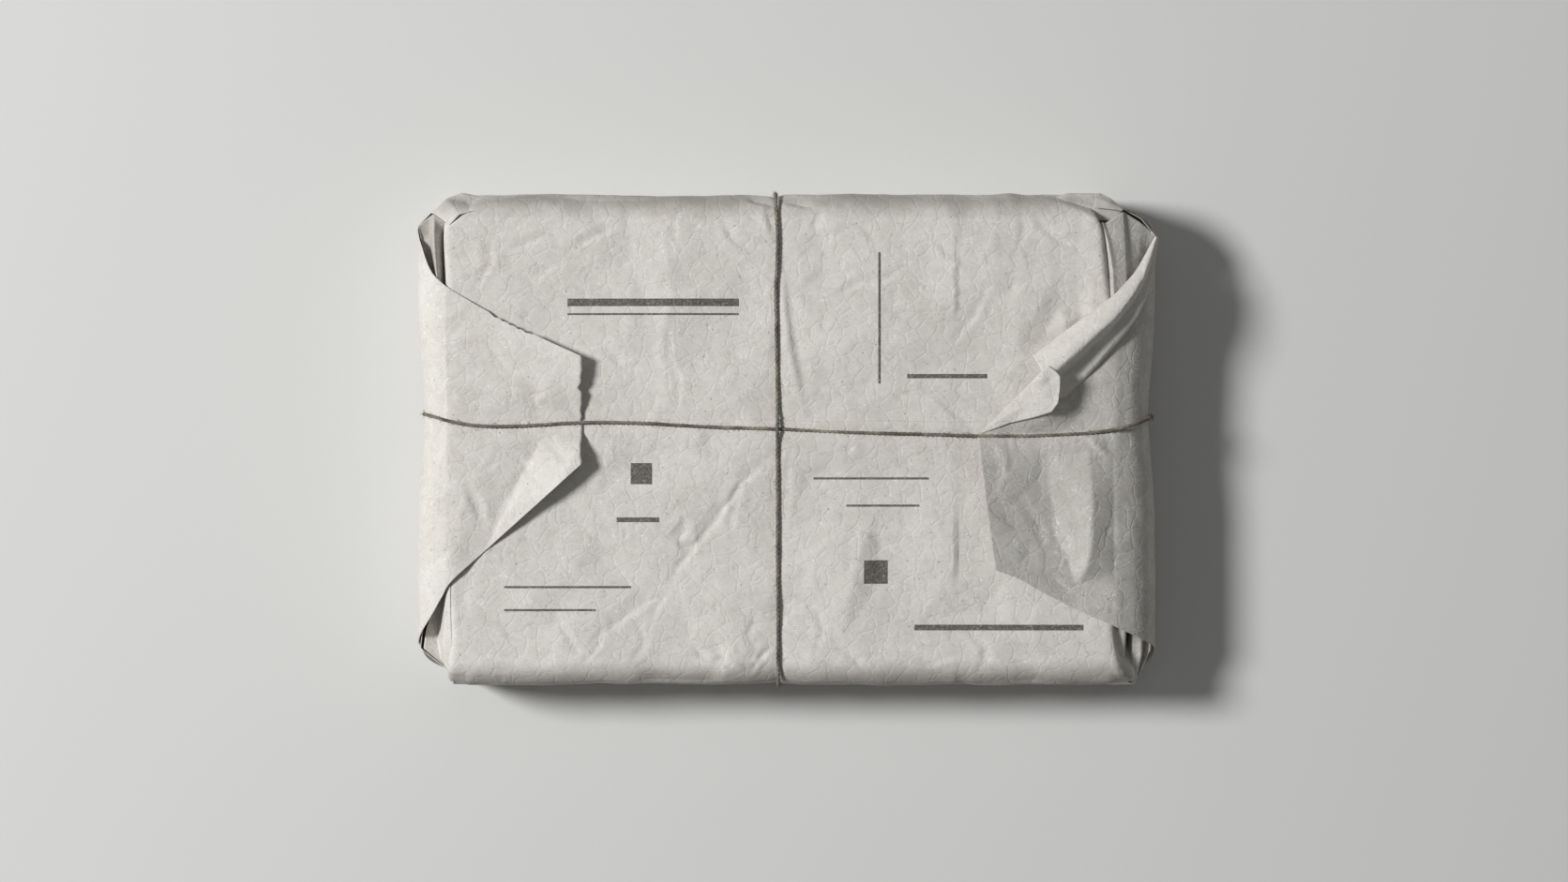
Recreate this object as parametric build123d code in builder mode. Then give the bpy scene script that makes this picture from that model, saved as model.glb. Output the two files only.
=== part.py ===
from build123d import *
import os
from math import acos, atan2, cos, hypot, pi, radians, sin, tan

os.makedirs("parts", exist_ok=True)

# A flat parcel: a block of contents wrapped in one sheet of heavy paper and tied with twine.
# X runs along the parcel, Y across it and Z up. The origin is under its middle, on the surface
# that it rests on. All sizes are in millimetres.

# Parcel ------------------------------------------------------------------------------------
pack_length = 318.0  # over the bulge of both ends
pack_width = 211.6  # over the long sides
pack_height = 50.0  # underside to the top panel
long_edge_radius = 7.0  # the soft edge along both long sides
left_top_inset = 15.0  # end bulge to the left end fold of the top panel
right_top_inset = 19.5  # end bulge to the right end fold of the top panel
base_inset = 17.0  # end bulge to the end fold of the underside
bulge_height = 27.0  # height of the furthest point of an end
clip_length = 15.5  # how far a tucked corner comes in along X
clip_width = 17.5  # and along Y
clip_crown = 1.6  # how far a tucked corner stands out from a straight cut
end_waist = 2.6  # how far the string pulls an end in
side_waist = 1.0  # how far the string pulls a long side in

# Paper -------------------------------------------------------------------------------------
ply = 0.8  # a folded flap, with its air and creases
root_sink = 0.2  # how far the foot of a flap runs into the panel under it
least_lift = 0.05  # a free edge that is held down never lies quite flat
flap_knee = (0.6, 0.45)  # where a flap starts to spring: share of its reach, share of its lift
foot_run = 4.0  # how far the foot of a flap runs back over the end, under its fold
fold_over = 1.0  # how far its upper face runs back over the end fold before it turns down
shoulder_run = 6.0  # and how far it has run back when it is down at the foot
foot_drop = 3.0  # how far the foot is below the top panel
seam_step = 0.5  # height of the long overlap of the wrapper
seam_y = 8.2  # where that overlap ends
seam_margin = 9.0  # overlap to the end folds and to the long side

# Each flap row is the place across the parcel, how far the flap reaches in from its end fold
# there, and how high its free edge has sprung. The string holds both flaps down.
left_flap = [
    (64.0, 2.0, 0.0),
    (54.0, 17.5, 1.0),
    (46.0, 34.5, 3.0),
    (36.0, 56.0, 7.0),
    (21.0, 56.5, 5.0),
    (10.0, 56.0, 0.0),
    (3.0, 55.0, 0.0),
    (-10.0, 55.5, 4.0),
    (-20.0, 46.0, 4.0),
    (-37.0, 27.5, 2.5),
    (-49.0, 15.0, 1.0),
    (-60.0, 2.0, 0.0),
]
right_flap = [
    (42.0, 2.0, 0.0),
    (30.0, 10.0, 1.0),
    (16.0, 23.5, 1.0),
    (5.0, 50.0, 0.0),
    (-1.0, 58.0, 0.0),
    (-9.0, 58.0, 1.5),
    (-22.0, 57.0, 4.5),
    (-37.0, 54.5, 5.5),
    (-57.0, 51.0, 5.0),
    (-62.0, 40.0, 3.0),
    (-68.5, 25.0, 1.5),
    (-75.5, 10.0, 0.5),
    (-80.0, 2.0, 0.0),
]

# The far corner of the right flap has sprung up and rolled back into a loose cone.
curl_mouth = (29.0, 25.8)  # in from the right end fold, and across
curl_tail = (-8.0, 68.5)
curl_mouth_width = 21.6
curl_mouth_height = 13.0
curl_tail_width = 11.0
curl_tail_height = 7.0
curl_tail_sink = 2.5  # from the top panel down to the middle of the tail
# The tip of that corner turns out again from under the cone as a flat leaf.
leaf_outline = [(56.8, 3.2), (28.7, 31.6), (24.0, 26.0), (23.0, 20.0), (26.5, 12.0), (42.0, 7.4)]
leaf_rise = 0.16  # how steeply the leaf climbs, across the parcel

# The pleats pushed in at the four corners leave a slot each side of the tucked paper:
# place along X from the nearest end, place along Y from the nearest side, length, turn.
tuck_slot = 1.2
tuck_depth = 14.0
tucks = {
    "far_left": (-1, 1, [(14.6, 27.5, 22.0, 91.0), (5.6, 25.5, 22.0, -71.0)]),
    "near_left": (-1, -1, [(15.6, 20.5, 19.0, 88.0), (6.0, 27.0, 20.0, 70.0)]),
    "far_right": (1, 1, [(19.2, 25.0, 20.0, 93.0), (11.0, 20.5, 20.0, 87.0)]),
    "near_right": (1, -1, [(12.4, 13.0, 21.0, 97.0), (7.0, 14.5, 14.0, 103.0)]),
}

# String ------------------------------------------------------------------------------------
string_diameter = 2.0
string_bed = 0.5  # how deep it bites into the paper
string_clearance = 0.25
ground_clearance = 0.05
crossing_clearance = 0.1
knot_length = 9.0
knot_width = 7.0
knot_height = 4.6
knot_profile = [(0.0, 0.72), (0.22, 1.0), (0.62, 0.92), (1.0, 0.5)]  # share of height, of width
knot_grip = 1.5  # from the middle of the knot to where each strand starts in it
tail_length = 17.0
tail_turn = 38.0  # degrees between a tail and the long string
hump_run = 6.0  # length of the climb over the crossing
hump_crown = 0.02  # its far side is a touch higher, so that no two runs are in line
crossing_offset = 1.0  # from the knot to the crossing above it, across the parcel
knot_room = 1.0  # paper kept clear round the knot
knot_headroom = 0.4  # and over it
largest_bend = 60.0  # radius of the gentlest bend of the string
bend_share = 0.45  # of the shorter run beside a bend, which the bend may take
# Where the long string lies across the top, from the left end to the right end:
# share of the half length, and place across.
long_string = [(-0.99, 10.6), (-0.77, 5.6), (-0.52, 7.2), (-0.22, 5.6), (0.2, 3.3), (0.56, 1.6)]
long_string += [(0.81, 3.0), (0.98, 9.6)]
cross_string_x = -4.6

# Worked out from those ---------------------------------------------------------------------
half_length = pack_length / 2
half_width = pack_width / 2
left_fold = -half_length + left_top_inset
right_fold = half_length - right_top_inset
string_radius = string_diameter / 2
proud = string_radius - string_bed
under_z = string_radius + ground_clearance
top_z = pack_height + seam_step + proud
flap_z = max(pack_height + ply - root_sink + proud, top_z)


def clipped_outline():
    """The plan of the parcel, with its four tucked corners and the waist at each string."""
    crown = clip_crown
    clip = (half_length - clip_length, half_width - clip_width)
    middle = (half_length - clip_length / 2 + crown, half_width - clip_width / 2 + crown)
    left_y = long_string[0][1]
    right_y = long_string[-1][1]
    with BuildLine() as line:
        Polyline((-clip[0], half_width), (cross_string_x, half_width - side_waist), (clip[0], half_width))
        ThreePointArc((clip[0], half_width), middle, (half_length, clip[1]))
        Polyline((half_length, clip[1]), (half_length - end_waist, right_y), (half_length, -clip[1]))
        ThreePointArc((half_length, -clip[1]), (middle[0], -middle[1]), (clip[0], -half_width))
        Polyline((clip[0], -half_width), (cross_string_x, side_waist - half_width), (-clip[0], -half_width))
        ThreePointArc((-clip[0], -half_width), (-middle[0], -middle[1]), (-half_length, -clip[1]))
        Polyline((-half_length, -clip[1]), (end_waist - half_length, left_y), (-half_length, clip[1]))
        ThreePointArc((-half_length, clip[1]), (-middle[0], middle[1]), (-clip[0], half_width))
    return line.line


def flap_section(side, fold, reach, lift):
    """The section of a flap, from its foot beside the end fold to its sprung free edge."""
    foot = pack_height - root_sink
    lift = max(lift, least_lift)
    knee = (reach * flap_knee[0], foot + lift * flap_knee[1])
    lower = [(-foot_run, foot - foot_drop), (0.0, foot), knee, (reach, foot + lift)]
    upper = [(reach, foot + lift + ply), (knee[0], knee[1] + ply)]
    upper += [(-fold_over, foot + ply), (-shoulder_run, foot - foot_drop + ply)]
    return [(fold - side * x, z) for x, z in lower + upper]


def bend_radii(points, largest):
    """One radius for each corner of a route: the largest that its two runs leave room for."""
    corners = [Vector(*p) for p in points]
    radii = []
    for before, here, after in zip(corners, corners[1:], corners[2:]):
        turn = radians((here - before).get_angle(after - here))
        shorter = min((here - before).length, (after - here).length)
        radii.append(round(min(largest, bend_share * shorter / tan(turn / 2)), 2))
    return radii


def round_an_end(inset):
    """Where the string turns from the underside up a bulged end and onto the top, as X and Z."""
    x1, z1 = half_length - base_inset, 0.0
    x2, z2 = half_length, bulge_height
    x3, z3 = half_length - inset, pack_height
    a = (x2**2 - x1**2 + z2**2 - z1**2) / 2
    b = (x3**2 - x2**2 + z3**2 - z2**2) / 2
    det = (x2 - x1) * (z3 - z2) - (x3 - x2) * (z2 - z1)
    centre_x = (a * (z3 - z2) - b * (z2 - z1)) / det
    centre_z = ((x2 - x1) * b - (x3 - x2) * a) / det
    round_radius = hypot(x2 - centre_x, z2 - centre_z)
    flat = acos((half_length - end_waist - centre_x) / round_radius)
    offset = round_radius + proud
    points = []
    for x, z, z_far in ((x1, z1, under_z), (x3, z3, flap_z)):
        start = atan2(z - centre_z, x - centre_x)
        turn = (start + (flat if start > 0 else -flat)) / 2
        on_level = (centre_x + (offset - (z_far - centre_z) * sin(turn)) / cos(turn), z_far)
        on_waist = (end_out, centre_z + (offset - (end_out - centre_x) * cos(turn)) / sin(turn))
        points += [on_level, on_waist] if start < 0 else [on_waist, on_level]
    return points


# Route of the string -----------------------------------------------------------------------
# Both loops start and end in the knot, which lies in a hollow of the underside.
knot_x = cross_string_x
crossing_y = long_string[4][1]
knot_y = crossing_y + crossing_offset
left_y = long_string[0][1]
right_y = long_string[-1][1]
end_out = half_length - end_waist + proud
side_out = half_width - side_waist + proud
crossing_z = top_z + string_diameter + crossing_clearance

left_turn = [(-x, left_y, z) for x, z in round_an_end(left_top_inset)]
right_turn = [(x, right_y, z) for x, z in round_an_end(right_top_inset)]

long_route = [(knot_x - knot_grip, knot_y, under_z)]
long_route += left_turn
long_route += [(share * half_length, y, flap_z) for share, y in long_string[1:2]]
long_route += [(share * half_length, y, top_z) for share, y in long_string[2:-2]]
long_route += [(share * half_length, y, flap_z) for share, y in long_string[-2:-1]]
long_route += right_turn[::-1]
long_route += [(knot_x + knot_grip, knot_y, under_z)]

cross_route = [(knot_x, knot_y - knot_grip, under_z)]
cross_route += [(cross_string_x, -side_out, under_z)]
cross_route += [(cross_string_x, -side_out, top_z)]
cross_route += [(cross_string_x, crossing_y - hump_run, top_z)]
cross_route += [(cross_string_x, crossing_y - string_radius, crossing_z)]
cross_route += [(cross_string_x, crossing_y + string_radius, crossing_z + hump_crown)]
cross_route += [(cross_string_x, crossing_y + hump_run, top_z)]
cross_route += [(cross_string_x, side_out, top_z)]
cross_route += [(cross_string_x, side_out, under_z)]
cross_route += [(knot_x, knot_y + knot_grip, under_z)]

routes = {"long": (long_route, bend_radii(long_route, largest_bend))}
routes["cross"] = (cross_route, bend_radii(cross_route, long_edge_radius + proud))

tail_reach = Vector(tail_length, 0, 0).rotate(Axis.Z, tail_turn)
tail_ends = [Vector(knot_x, knot_y, under_z) + side * tail_reach for side in (-1, 1)]

# The string: two loops and a knot, which are one length of twine ---------------------------
with BuildPart() as string:
    for name, (points, radii) in routes.items():
        with BuildLine() as path:
            FilletPolyline(*points, radius=radii)
        with BuildSketch(Plane(origin=path.line @ 0, z_dir=path.line % 0)):
            Circle(string_radius)
        sweep(path=path.line)
        print(name, "loop", round(path.wires()[0].length, 1), "mm, radii", radii)
    for end in tail_ends:
        with BuildLine() as path:
            Line((knot_x, knot_y, under_z), end)
        with BuildSketch(Plane(origin=path.line @ 0, z_dir=path.line % 0)):
            Circle(string_radius)
        sweep(path=path.line)
    # The knot, seen from the side: narrow where it lies on the ground, widest at the strings.
    for share, swell in knot_profile:
        with BuildSketch(Plane.XY.offset(ground_clearance + share * knot_height)):
            with Locations((knot_x, knot_y)):
                Ellipse(swell * knot_length / 2, swell * knot_width / 2)
    loft(ruled=True)

# The room that the string takes in the paper -----------------------------------------------
with BuildPart() as string_room:
    for points, radii in routes.values():
        with BuildLine() as path:
            FilletPolyline(*points, radius=radii)
        with BuildSketch(Plane(origin=path.line @ 0, z_dir=path.line % 0)):
            Circle(string_radius + string_clearance)
        sweep(path=path.line)
    groove = string_diameter + 2 * string_clearance
    slots = [(tuple(route[0][:2]), (knot_x, knot_y)) for route in (left_turn, right_turn)]
    slots += [((cross_string_x, y), (knot_x, knot_y)) for y in (-half_width, half_width)]
    slots += [(tuple(end)[:2], (knot_x, knot_y)) for end in tail_ends]
    for start, stop in slots:
        with BuildSketch(Plane.XY):
            with BuildLine():
                Line(start, stop)
            trace(line_width=groove)
        extrude(amount=under_z)
    for start, stop in slots[-2:]:
        with BuildLine() as path:
            Line((*stop, under_z), (*start, under_z))
        with BuildSketch(Plane(origin=path.line @ 0, z_dir=path.line % 0)):
            Circle(string_radius + string_clearance)
        sweep(path=path.line)
    with BuildSketch(Plane.XY):
        with Locations((knot_x, knot_y)):
            Ellipse(knot_length / 2 + knot_room, knot_width / 2 + knot_room)
    extrude(amount=knot_height + ground_clearance + knot_headroom)

# The rolled corner of the right flap -------------------------------------------------------
mouth = Vector(right_fold - curl_mouth[0], curl_mouth[1], pack_height + curl_mouth_height / 2)
tail = Vector(right_fold - curl_tail[0], curl_tail[1], pack_height - curl_tail_sink)
across_curl = (tail - mouth).cross(Vector(0, 0, 1))
with BuildPart() as curl:
    for inset in (0.0, ply):
        for at, wide, high in (
            (mouth, curl_mouth_width, curl_mouth_height),
            (tail, curl_tail_width, curl_tail_height),
        ):
            with BuildSketch(Plane(origin=at, x_dir=across_curl, z_dir=tail - mouth)):
                Ellipse(wide / 2 - inset, high / 2 - inset)
        loft(mode=Mode.SUBTRACT if inset else Mode.ADD)

# The parcel --------------------------------------------------------------------------------
with BuildPart() as wrapped_parcel:
    with BuildSketch(Plane.XY):
        make_face(clipped_outline())
    extrude(amount=pack_height)
    # The bulge of both ends, seen from the side.
    with BuildSketch(Plane.XZ) as side_profile:
        with BuildLine():
            Line((base_inset - half_length, 0), (half_length - base_inset, 0))
            ThreePointArc(
                (half_length - base_inset, 0), (half_length, bulge_height), (right_fold, pack_height)
            )
            Line((right_fold, pack_height), (left_fold, pack_height))
            ThreePointArc(
                (left_fold, pack_height), (-half_length, bulge_height), (base_inset - half_length, 0)
            )
        make_face()
    extrude(amount=pack_width, both=True, mode=Mode.INTERSECT)
    # The soft long edges, seen from the end.
    with BuildSketch(Plane.YZ):
        with Locations((0, pack_height / 2)):
            RectangleRounded(pack_width, pack_height, long_edge_radius)
    extrude(amount=pack_length, both=True, mode=Mode.INTERSECT)
    # The upper layer of the long overlap.
    with BuildSketch(Plane.XY.offset(pack_height - root_sink)):
        with BuildLine():
            Polyline(
                (left_fold + seam_margin, long_edge_radius + seam_margin - half_width),
                (right_fold - seam_margin, long_edge_radius + seam_margin - half_width),
                (right_fold - seam_margin, seam_y),
                (left_fold + seam_margin, seam_y),
                close=True,
            )
        make_face()
    extrude(amount=seam_step + root_sink)
    # The slots beside the tucked pleats.
    for side, across, slots in tucks.values():
        for from_end, from_side, length, turn in slots:
            place = (side * (half_length - from_end), across * (half_width - from_side))
            with BuildSketch(Plane.XY.offset(pack_height - tuck_depth)):
                with Locations(place):
                    Rectangle(length, tuck_slot, rotation=turn)
            extrude(amount=tuck_depth + seam_step, mode=Mode.SUBTRACT)
    # The two end flaps, folded up over the ends and onto the top.
    for side, fold, rows in ((-1, left_fold, left_flap), (1, right_fold, right_flap)):
        for y, reach, lift in rows:
            with BuildSketch(Plane.XZ.offset(-y)):
                with BuildLine():
                    Polyline(*flap_section(side, fold, reach, lift), close=True)
                make_face()
        loft(ruled=True)
    # The rolled corner, and the leaf that turns out from under it.
    add(curl.part)
    leaf_plane = Plane(origin=(right_fold, 0, pack_height), x_dir=(1, 0, 0), z_dir=Vector(0, -leaf_rise, 1))
    with BuildSketch(leaf_plane):
        with BuildLine():
            Polyline(*[(-x, y) for x, y in leaf_outline], close=True)
        make_face()
    extrude(amount=ply)
    add(string_room.part, mode=Mode.SUBTRACT)

wrapped_parcel.part.label = "wrapped_parcel"
string.part.label = "string"
export_step(wrapped_parcel.part, "parts/wrapped_parcel.step")
export_step(string.part, "parts/string.step")

section = pi * string_radius**2
print("string volume", round(string.part.volume), "mm3, of section", round(section, 2), "mm2")
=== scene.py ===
# %% [markdown]
# A parcel wrapped in one sheet of heavy, uncoated paper and tied with twine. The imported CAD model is
# the frame: it gives the size and the place of everything. Blender adds what a hand-wrapped parcel
# has and a CAD solid has not: creases, sprung flaps, tucked corners and twisted strands.

# %% Load the frame
import math
import random

import bmesh
import bpy
import numpy as np
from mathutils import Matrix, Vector
from mathutils.bvhtree import BVHTree
from mathutils.geometry import delaunay_2d_cdt


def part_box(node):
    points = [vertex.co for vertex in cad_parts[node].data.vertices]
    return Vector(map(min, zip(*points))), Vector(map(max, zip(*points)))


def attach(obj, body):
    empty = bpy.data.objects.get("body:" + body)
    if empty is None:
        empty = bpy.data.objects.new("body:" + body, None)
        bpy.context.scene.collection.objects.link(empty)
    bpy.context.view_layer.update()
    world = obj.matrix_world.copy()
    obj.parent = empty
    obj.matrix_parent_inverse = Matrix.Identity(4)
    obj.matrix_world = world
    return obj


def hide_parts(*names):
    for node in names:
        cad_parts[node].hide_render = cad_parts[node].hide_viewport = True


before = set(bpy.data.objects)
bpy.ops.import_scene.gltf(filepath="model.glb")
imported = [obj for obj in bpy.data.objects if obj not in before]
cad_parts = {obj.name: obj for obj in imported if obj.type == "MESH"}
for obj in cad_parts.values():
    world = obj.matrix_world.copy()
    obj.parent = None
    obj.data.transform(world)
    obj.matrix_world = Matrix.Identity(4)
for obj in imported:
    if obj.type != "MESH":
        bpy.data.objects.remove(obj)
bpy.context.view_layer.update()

MM = 0.001
random.seed(11)
low, high = (np.array(corner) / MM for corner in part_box("wrapped_parcel"))
half_width = float(high[1])
print("parcel", (high - low).round(1), "mm")

# %% [markdown]
# Everything below is worked out in millimetres and scaled to metres once, when a mesh is made. The
# top panel is 50 mm up and ends at a fold near each end, where the tucked paper starts. Each fold and
# the long twine wander a little, as hand-made ones do, so each is a smooth line through chosen points.

# %% Sizes of the parcel
top_z = 50.0
paper_thickness = 0.3
sheet_step = 1.16  # spacing of the mesh that carries the creases
cross_x = -4.6  # where the twine crosses the parcel
unrolled = (-165, -270, 165, 270)  # the area of the sheet: along the parcel, and round it


def line_through(points):
    """A smooth function of one variable through a few chosen points, constant beyond the ends."""
    xs, ys = (np.array(c, float) for c in zip(*sorted(points)))
    slopes = np.gradient(ys, xs)

    def at(x):
        x = np.clip(np.asarray(x, float), xs[0], xs[-1])
        i = np.clip(np.searchsorted(xs, x) - 1, 0, len(xs) - 2)
        h = xs[i + 1] - xs[i]
        t = (x - xs[i]) / h
        a, b = (1 + 2 * t) * (1 - t) ** 2, t * (1 - t) ** 2 * h
        c, d = t * t * (3 - 2 * t), t * t * (t - 1) * h
        return a * ys[i] + b * slopes[i] + c * ys[i + 1] + d * slopes[i + 1]

    return at


def smooth(x):
    """0 below 0, 1 above 1, and a soft step between them."""
    x = np.clip(x, 0, 1)
    return x * x * (3 - 2 * x)


# Along the parcel at each place across it, (y, x).
left_fold = line_through(
    [(-105, -143), (-85, -141.5), (-60, -143), (0, -143.5), (66, -143.5), (92, -144.2), (104, -143)]
)
right_fold = line_through(
    [
        (-105, 146.5), (-99, 141), (-90, 138), (-78, 137), (-60, 138.5), (0, 138.5),
        (46, 138.8), (62, 135.2), (82, 133.0), (91, 131.8), (97, 129.5), (104, 126),
    ]
)
# Across the parcel at each place along it, (x, y).
long_twine_y = line_through(
    [
        (-158, 11), (-150, 8.9), (-139, 6.4), (-131, 5.6), (-120, 5.5), (-88, 7.2), (-66, 7.2), (-36, 5.4),
        (-5, 4.5), (24, 3.1), (60, 2.2), (88, 1.4), (120, 2.2), (132, 3), (148, 6.6), (158, 9.7),
    ]
)
print("top panel", round(float(right_fold(0) - left_fold(0)), 1), "mm between its end folds")

# %% [markdown]
# Creased paper is nearly flat facets that meet at sharp lines. A net of triangles over scattered
# points does the same: each point gets a small height, and the facets between them are flat. The
# creases that matter are placed one by one, as points of the same net, and random points fill the rest.

# %% A net of creases


def crease(line, profile, spacing=5.0):
    """Folds beside a line: for each (offset, height) of the profile, a chain of (x, y, height)."""
    line = np.array(line, float)
    run = np.concatenate(([0], np.cumsum(np.linalg.norm(np.diff(line, axis=0), axis=1))))
    at = np.linspace(0, run[-1], max(2, round(run[-1] / spacing) + 1))
    x, y = np.interp(at, run, line[:, 0]), np.interp(at, run, line[:, 1])
    dx, dy = np.gradient(x), np.gradient(y)
    long = np.hypot(dx, dy)
    fade = np.clip(np.minimum(at, run[-1] - at) / (0.3 * run[-1]), 0.15, 1.0)
    fade = fade * (1 + 0.15 * np.sin(at / 7 + line[0, 0]))
    chains = []
    for offset, height in profile:
        wide = offset * (0.55 + 0.45 * fade)
        chains.append(np.column_stack((x + dy / long * wide, y - dx / long * wide, height * fade)))
    return chains


def crease_net(area, spacing, amount, placed=(), clear=3.0, seed=1):
    """A function that gives the height of the creased paper at many places at once."""
    chance = random.Random(seed)
    x0, y0, x1, y1 = area
    points, edges = [], []
    for chain in placed:
        first = len(points)
        points += [tuple(p) for p in chain]
        edges += [(k, k + 1) for k in range(first, len(points) - 1)]
    fixed = np.array([p[:2] for p in points]) if points else np.full((1, 2), 1e6)
    for i in range(math.ceil((x1 - x0) / spacing) + 3):
        for j in range(math.ceil((y1 - y0) / spacing) + 3):
            x = x0 + (i - 1 + chance.uniform(-0.48, 0.48)) * spacing
            y = y0 + (j - 1 + chance.uniform(-0.48, 0.48)) * spacing
            height = chance.gauss(0, 0.55) * amount
            if ((fixed - (x, y)) ** 2).sum(axis=1).min() > clear**2:
                points.append((x, y, height))
    verts, _, faces, source, _, _ = delaunay_2d_cdt([Vector(p[:2]) for p in points], edges, [], 0, 1e-5)
    heights = [points[origin[0]][2] if origin else None for origin in source]
    # Where two folds cross, the net gets a new point, level with what is nearest.
    known = [k for k, h in enumerate(heights) if h is not None]
    places = np.array([verts[k] for k in known])
    for k, height in enumerate(heights):
        if height is None:
            heights[k] = heights[known[int(((places - np.array(verts[k])) ** 2).sum(axis=1).argmin())]]
    tree = BVHTree.FromPolygons([(v.x, v.y, h) for v, h in zip(verts, heights)], faces)
    down = Vector((0, 0, -1))

    def at(x, y):
        found = np.zeros(len(x))
        for k, (a, b) in enumerate(zip(x.tolist(), y.tolist())):
            hit = tree.ray_cast(Vector((a, b, 50.0)), down)[0]
            found[k] = hit.z if hit else 0.0
        return found

    print("crease net of", len(faces), "facets")
    return at


def all_creases(folds):
    """The chains of several folds, each given as (line, profile, spacing)."""
    return [chain for fold in folds for chain in crease(*fold)]


# %% [markdown]
# A sheet of paper starts as a flat grid. Its points are then moved to where the folded sheet lies,
# and Solidify gives the paper its thickness. A cloth simulation would drape it softly, but stiff paper
# keeps its folds where a hand put them, so the folds are shaped directly.

# %% Making sheets


def mesh_object(name, bm, material):
    """A finished piece: in metres, riding on the parcel, with its material."""
    mesh = bpy.data.meshes.new(name)
    bm.to_mesh(mesh)
    bm.free()
    mesh.materials.append(material)
    mesh.shade_smooth()
    piece = bpy.data.objects.new(name, mesh)
    bpy.context.collection.objects.link(piece)
    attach(piece, "root")
    return piece


def folded_sheet(name, form, columns, rows, closed=False):
    """A grid whose points go where form(u, v) says, in millimetres. u and v run from 0 to 1."""
    bm = bmesh.new()
    bmesh.ops.create_grid(bm, x_segments=columns, y_segments=rows, size=0.5)
    u = np.array([v.co.x for v in bm.verts]) + 0.5
    v = np.array([v.co.y for v in bm.verts]) + 0.5
    x, y, z = form(u, v)
    for vert, place in zip(bm.verts, np.column_stack((x, y, z)) * MM):
        vert.co = place
    if closed:
        bmesh.ops.remove_doubles(bm, verts=bm.verts, dist=0.00002)
        bmesh.ops.recalc_face_normals(bm, faces=bm.faces)
    print(name, len(bm.faces), "faces")
    return bm


def thicken(piece, thickness=paper_thickness):
    """Gives a sheet the thickness of its paper, half on each side."""
    solid = piece.modifiers.new("paper", "SOLIDIFY")
    solid.thickness = thickness * MM
    solid.offset = 0.0
    solid.use_even_offset = False


# %% [markdown]
# Uncoated bleached kraft is matt and a little uneven: cloudy where the fibres lie thicker, with short
# darker fibres and specks pressed into it. The colour comes from noise at those three sizes, and the
# bump from fibres and fine crumples.

# %% Materials


def srgb(code):
    """A hex colour as the linear values that a shader wants."""
    parts = [int(code[i : i + 2], 16) / 255 for i in (1, 3, 5)]
    return [p / 12.92 if p <= 0.04045 else ((p + 0.055) / 1.055) ** 2.4 for p in parts] + [1.0]


def add_node(tree, kind, settings=None, stops=(), **inputs):
    """Adds a node, sets its properties and a ramp's stops, and sets or links its inputs.
    A node given as an input stands for its first output."""
    node = tree.nodes.new(kind)
    for key, value in (settings or {}).items():
        setattr(node, key, value)
    for _ in stops[2:]:
        node.color_ramp.elements.new(0.5)
    for k, (place, colour) in enumerate(stops):
        node.color_ramp.elements[k].position = place
        node.color_ramp.elements[k].color = colour
    for key, value in inputs.items():
        socket = node.inputs[int(key[1:]) if key[0] == "i" and key[1:].isdigit() else key.replace("_", " ")]
        if isinstance(value, bpy.types.Node):
            value = value.outputs[0]
        if isinstance(value, bpy.types.NodeSocket):
            tree.links.new(value, socket)
        else:
            socket.default_value = value
    return node


def grey(value):
    """A ramp's stop that stands for a plain number."""
    return [value, value, value, 1.0]


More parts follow.
